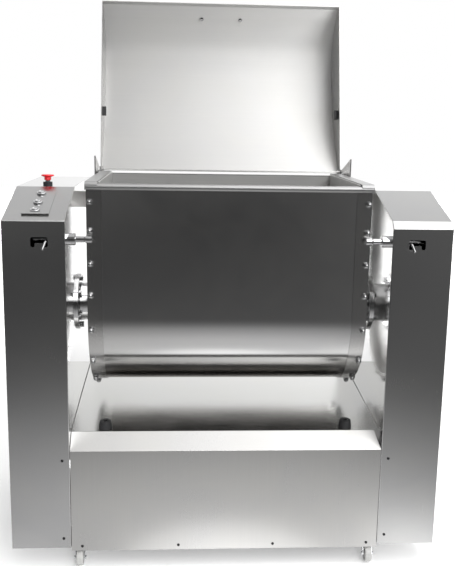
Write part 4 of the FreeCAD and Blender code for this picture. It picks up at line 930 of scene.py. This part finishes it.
# ------------------------------------------------------------------ studio
bm = bmesh.new()
vs = [bm.verts.new(v) for v in ((-14, -14, 0), (14, -14, 0), (14, 14, 0), (-14, 14, 0))]
bm.faces.new(vs)
me = bpy.data.meshes.new("studio_floor")
bm.to_mesh(me)
bm.free()
floor = bpy.data.objects.new("studio_floor", me)
scene.collection.objects.link(floor)
fm, nt, b = base_mat("studio_floor")
b.inputs["Base Color"].default_value = (0.90, 0.90, 0.90, 1)
b.inputs["Roughness"].default_value = 0.6
b.inputs["Specular IOR Level"].default_value = 0.2
b.inputs["Emission Color"].default_value = (1, 1, 1, 1)
b.inputs["Emission Strength"].default_value = 0.22
me.materials.append(fm)


# floor in front, as it shows in the steel: lit near the machine, falling off towards a dark room
FRONT = P(0, 0, 0).y
REACH = 13.0
GLOW = [(0.0, 1.6), (0.12, 1.5), (0.25, 1.14), (0.31, 0.80), (0.43, 0.69), (0.6, 0.65), (0.8, 0.55), (1.0, 0.45), (1.3, 0.34), (1.7, 0.20), (2.3, 0.115), (3.5, 0.085), (5.0, 0.075), (8.0, 0.08), (12.0, 0.09)]
bm = bmesh.new()
bm.faces.new([bm.verts.new(v) for v in ((-40, FRONT - 80.0, 0.004), (40, FRONT - 80.0, 0.004), (40, FRONT - 0.03, 0.004), (-40, FRONT - 0.03, 0.004))])
me = bpy.data.meshes.new("front_floor_card")
bm.to_mesh(me)
bm.free()
card = bpy.data.objects.new("front_floor_card", me)
scene.collection.objects.link(card)
cm = bpy.data.materials.new("front_floor_card")
cm.use_nodes = True
nt = cm.node_tree
nt.nodes.clear()
out = nt.nodes.new("ShaderNodeOutputMaterial")
e = nt.nodes.new("ShaderNodeEmission")
tc = nt.nodes.new("ShaderNodeTexCoord")
sx = nt.nodes.new("ShaderNodeSeparateXYZ")
nt.links.new(tc.outputs["Object"], sx.inputs[0])
dy = math2(nt, "SUBTRACT", sx.outputs[1], FRONT)
r = math2(nt, "SQRT", math2(nt, "ADD", math2(nt, "MULTIPLY", dy, dy), math2(nt, "MULTIPLY", sx.outputs[0], math2(nt, "MULTIPLY", sx.outputs[0], 0.8))), 0.0)
cr = nt.nodes.new("ShaderNodeValToRGB")
els = cr.color_ramp.elements
while len(els) > 1:
    els.remove(els[-1])
els[0].position = 0.0
els[0].color = (GLOW[0][1] / 2,) * 3 + (1,)
for d, v in GLOW[1:]:
    els.new(math.sqrt(d / REACH)).color = (v / 2,) * 3 + (1,)
nt.links.new(math2(nt, "SQRT", math2(nt, "MULTIPLY", r, 1.0 / REACH), 0.0), cr.inputs[0])
nt.links.new(cr.outputs[0], e.inputs["Color"])
g = nt.nodes.new("ShaderNodeMapRange")
for k, v in zip(("From Min", "To Min", "From Max", "To Max"), (-0.65, 1.9, 0.65, 2.2)):
    g.inputs[k].default_value = v
nt.links.new(sx.outputs[0], g.inputs["Value"])
px = math2(nt, "SUBTRACT", sx.outputs[0], 0.62)
pool = math2(nt, "MULTIPLY", math2(nt, "ADD", math2(nt, "MULTIPLY", px, px), math2(nt, "MULTIPLY", dy, dy)), -14.0)
pool = math2(nt, "MULTIPLY", math2(nt, "EXPONENT", pool, 0.0), 1.6)
ahead_by = math2(nt, "SUBTRACT", 0.0, dy)
side = math2(nt, "DIVIDE", math2(nt, "ADD", sx.outputs[0], 0.151), math2(nt, "ADD", ahead_by, 2.354))     # sideways slope seen from the front, past the sheet


def share(sock, a0, a1):
    r = nt.nodes.new("ShaderNodeMapRange")
    r.interpolation_type = "SMOOTHSTEP"
    r.inputs["From Min"].default_value = a0
    r.inputs["From Max"].default_value = a1
    nt.links.new(sock, r.inputs["Value"])
    return r.outputs[0]


def by_distance(pts):
    c = nt.nodes.new("ShaderNodeValToRGB")
    el = c.color_ramp.elements
    while len(el) > 1:
        el.remove(el[-1])
    el[0].position = 0.0
    el[0].color = (pts[0][1] / 3,) * 3 + (1,)
    for d, v in pts[1:]:
        el.new(math.sqrt(d / REACH)).color = (v / 3,) * 3 + (1,)
    nt.links.new(math2(nt, "SQRT", math2(nt, "MULTIPLY", ahead_by, 1.0 / REACH), 0.0), c.inputs[0])
    return math2(nt, "MULTIPLY", c.outputs[0], 3.0)


def blend(w, f):
    return math2(nt, "ADD", 1.0, math2(nt, "MULTIPLY", w, math2(nt, "SUBTRACT", f, 1.0)))


# the trough sees a darker part of the far floor than the cabinets beside it
mid = math2(nt, "SUBTRACT", 1.0, share(math2(nt, "ABSOLUTE", math2(nt, "SUBTRACT", side, 0.063), 0.0), 0.165, 0.24))
dim = blend(mid, by_distance([(0.0, 1.0), (3.5, 1.0), (5.5, 0.85), (8.5, 0.52), (12.0, 0.50)]))
dim = math2(nt, "MULTIPLY", dim, blend(share(side, 0.235, 0.29), by_distance([(0.0, 1.15), (0.3, 1.2), (0.6, 0.95), (0.9, 0.78), (1.6, 0.76), (2.5, 1.35), (3.9, 1.7), (5.8, 2.0), (12.0, 2.2)])))
dim = math2(nt, "MULTIPLY", dim, blend(math2(nt, "SUBTRACT", 1.0, share(side, -0.19, -0.135)), by_distance([(0.0, 1.25), (0.14, 1.15), (0.3, 1.0), (5.0, 1.05), (8.0, 1.6), (12.0, 2.3)])))
nt.links.new(math2(nt, "MULTIPLY", math2(nt, "ADD", g.outputs[0], pool), dim), e.inputs["Strength"])
nt.links.new(e.outputs[0], out.inputs[0])
me.materials.append(cm)
card.visible_camera = False
card.visible_diffuse = False
card.visible_shadow = False
card.visible_transmission = False

# floor behind, the same way: grey close to the machine as a painted shadow of the machine, white further off
BACK = P(0, CAB_DEPTH, 0).y
FADE = [(0.0, 0.40), (0.5, 0.52), (0.9, 0.66), (1.9, 0.98), (3.5, 1.08), (12.0, 1.10)]
bm = bmesh.new()
bm.faces.new([bm.verts.new(v) for v in ((-9, BACK + 0.02, 0.004), (9, BACK + 0.02, 0.004), (9, BACK + 12.6, 0.004), (-9, BACK + 12.6, 0.004))])
me = bpy.data.meshes.new("back_floor_card")
bm.to_mesh(me)
bm.free()
back_card = bpy.data.objects.new("back_floor_card", me)
scene.collection.objects.link(back_card)
cm = bpy.data.materials.new("back_floor_card")
cm.use_nodes = True
nt = cm.node_tree
nt.nodes.clear()
out = nt.nodes.new("ShaderNodeOutputMaterial")
e = nt.nodes.new("ShaderNodeEmission")
tc = nt.nodes.new("ShaderNodeTexCoord")
sx = nt.nodes.new("ShaderNodeSeparateXYZ")
nt.links.new(tc.outputs["Object"], sx.inputs[0])
cr = nt.nodes.new("ShaderNodeValToRGB")
els = cr.color_ramp.elements
while len(els) > 1:
    els.remove(els[-1])
els[0].position = 0.0
els[0].color = (FADE[0][1] / 2,) * 3 + (1,)
for d, v in FADE[1:]:
    els.new(math.sqrt(d / REACH)).color = (v / 2,) * 3 + (1,)
nt.links.new(math2(nt, "SQRT", math2(nt, "MULTIPLY", math2(nt, "SUBTRACT", sx.outputs[1], BACK), 1.0 / REACH), 0.0), cr.inputs[0])
nt.links.new(cr.outputs[0], e.inputs["Color"])
g = nt.nodes.new("ShaderNodeMapRange")
for k, v in zip(("From Min", "To Min", "From Max", "To Max"), (-1.5, 2.0, 1.5, 2.6)):
    g.inputs[k].default_value = v
nt.links.new(sx.outputs[0], g.inputs["Value"])
wide = nt.nodes.new("ShaderNodeMapRange")                     # brighter where only the right wall, seen more obliquely, mirrors it
wide.interpolation_type = "SMOOTHSTEP"
for k, v in zip(("From Min", "From Max", "To Min", "To Max"), (0.18, 0.25, 1.0, 7.5)):
    wide.inputs[k].default_value = v
reach = math2(nt, "ADD", math2(nt, "SUBTRACT", sx.outputs[1], BACK), 1.0)
slant = math2(nt, "ABSOLUTE", math2(nt, "DIVIDE", sx.outputs[0], reach), 0.0)
nt.links.new(slant, wide.inputs["Value"])
band = nt.nodes.new("ShaderNodeMapRange")
band.interpolation_type = "SMOOTHSTEP"
for k, v in zip(("From Min", "From Max", "To Min", "To Max"), (0.40, 0.52, 1.0, 0.0)):
    band.inputs[k].default_value = v
nt.links.new(slant, band.inputs["Value"])
hot = math2(nt, "ADD", 1.0, math2(nt, "MULTIPLY", band.outputs[0], math2(nt, "SUBTRACT", wide.outputs[0], 1.0)))
nt.links.new(math2(nt, "MULTIPLY", g.outputs[0], hot), e.inputs["Strength"])
nt.links.new(e.outputs[0], out.inputs[0])
me.materials.append(cm)
back_card.visible_camera = False
back_card.visible_diffuse = False
back_card.visible_shadow = False
back_card.visible_transmission = False

# soft key from the front; it lights the matt things and the floor, the steel mirrors the studio itself
kd = bpy.data.lights.new("key", "AREA")
kd.shape = "SQUARE"
kd.size = 1.2
kd.energy = 62.0
key = bpy.data.objects.new("key", kd)
scene.collection.objects.link(key)
key.matrix_world = Matrix.Translation((0.3, -3.7, 1.3)) @ (Vector((0, 0.0, 1.3)) - Vector((0.3, -3.7, 1.3))).to_track_quat("-Z", "Y").to_matrix().to_4x4()
key.visible_glossy = False
key.visible_camera = False

# small soft light beside the raised lid, from the right
ld = bpy.data.lights.new("lid_side", "AREA")
ld.shape = "SQUARE"
ld.size = 0.5
ld.energy = 19.0
side_light = bpy.data.objects.new("lid_side", ld)
scene.collection.objects.link(side_light)
side_light.matrix_world = Matrix.Translation((0.85, -0.35, 1.75)) @ (Vector((0.2, 0.25, 1.5)) - Vector((0.85, -0.35, 1.75))).to_track_quat("-Z", "Y").to_matrix().to_4x4()
side_light.visible_glossy = False
side_light.visible_camera = False

world = bpy.data.worlds.new("studio")
scene.world = world
world.use_nodes = True
nt = world.node_tree
nt.nodes.clear()
out = nt.nodes.new("ShaderNodeOutputWorld")
bg = nt.nodes.new("ShaderNodeBackground")
bgc = nt.nodes.new("ShaderNodeBackground")
bgc.inputs["Color"].default_value = (1, 1, 1, 1)
lp = nt.nodes.new("ShaderNodeLightPath")
mx = nt.nodes.new("ShaderNodeMixShader")
tc = nt.nodes.new("ShaderNodeTexCoord")
sx = nt.nodes.new("ShaderNodeSeparateXYZ")
nt.links.new(tc.outputs["Generated"], sx.inputs[0])


def wmap(sock, a0, a1, b0, b1):
    r = nt.nodes.new("ShaderNodeMapRange")
    r.interpolation_type = "SMOOTHSTEP"
    r.inputs["From Min"].default_value = a0
    r.inputs["From Max"].default_value = a1
    r.inputs["To Min"].default_value = b0
    r.inputs["To Max"].default_value = b1
    nt.links.new(sock, r.inputs["Value"])
    return r.outputs[0]


X, Y, Z = sx.outputs
back = wmap(Y, -0.15, 0.25, 0.0, 1.0)
level = wmap(X, -0.35, 0.35, 1.0, 1.5)                      # white sweep behind, brighter to the right
level = math2(nt, "MULTIPLY", level, wmap(math2(nt, "ABSOLUTE", X, 0.0), 0.33, 0.58, 1.0, 0.45))   # the sweep fades to the sides
high = wmap(Z, 0.45, 0.70, 0.0, 1.0)
behind = math2(nt, "ADD", math2(nt, "MULTIPLY", level, math2(nt, "SUBTRACT", 1.0, high)), math2(nt, "MULTIPLY", high, wmap(X, -0.3, 0.3, 0.60, 0.69)))
soft = math2(nt, "MULTIPLY", wmap(X, -0.10, 0.20, 0.12, 4.4), wmap(X, 0.32, 0.55, 1.0, 0.22))                         # soft light high in front, to the right
lift = wmap(Z, 0.10, 0.46, 0.0, 1.0)
ahead = math2(nt, "ADD", 0.05, math2(nt, "MULTIPLY", soft, lift))
ring = math2(nt, "ADD", math2(nt, "MULTIPLY", behind, back), math2(nt, "MULTIPLY", ahead, math2(nt, "SUBTRACT", 1.0, back)))
over = wmap(Z, 0.72, 0.92, 0.0, 1.0)                        # soft box overhead
nt.links.new(math2(nt, "ADD", math2(nt, "MULTIPLY", ring, math2(nt, "SUBTRACT", 1.0, over)), math2(nt, "MULTIPLY", over, wmap(X, -0.12, 0.18, 0.7, 2.5))), bg.inputs["Strength"])
bg.inputs["Color"].default_value = (1, 1, 1, 1)
nt.links.new(lp.outputs["Is Camera Ray"], mx.inputs[0])
nt.links.new(bg.outputs[0], mx.inputs[1])
nt.links.new(bgc.outputs[0], mx.inputs[2])
nt.links.new(mx.outputs[0], out.inputs[0])

scene.view_settings.view_transform = "Standard"
scene.view_settings.look = "None"
scene.cycles.use_denoising = True
scene.cycles.max_bounces = 10
scene.cycles.glossy_bounces = 6
scene.cycles.sample_clamp_indirect = 6.0
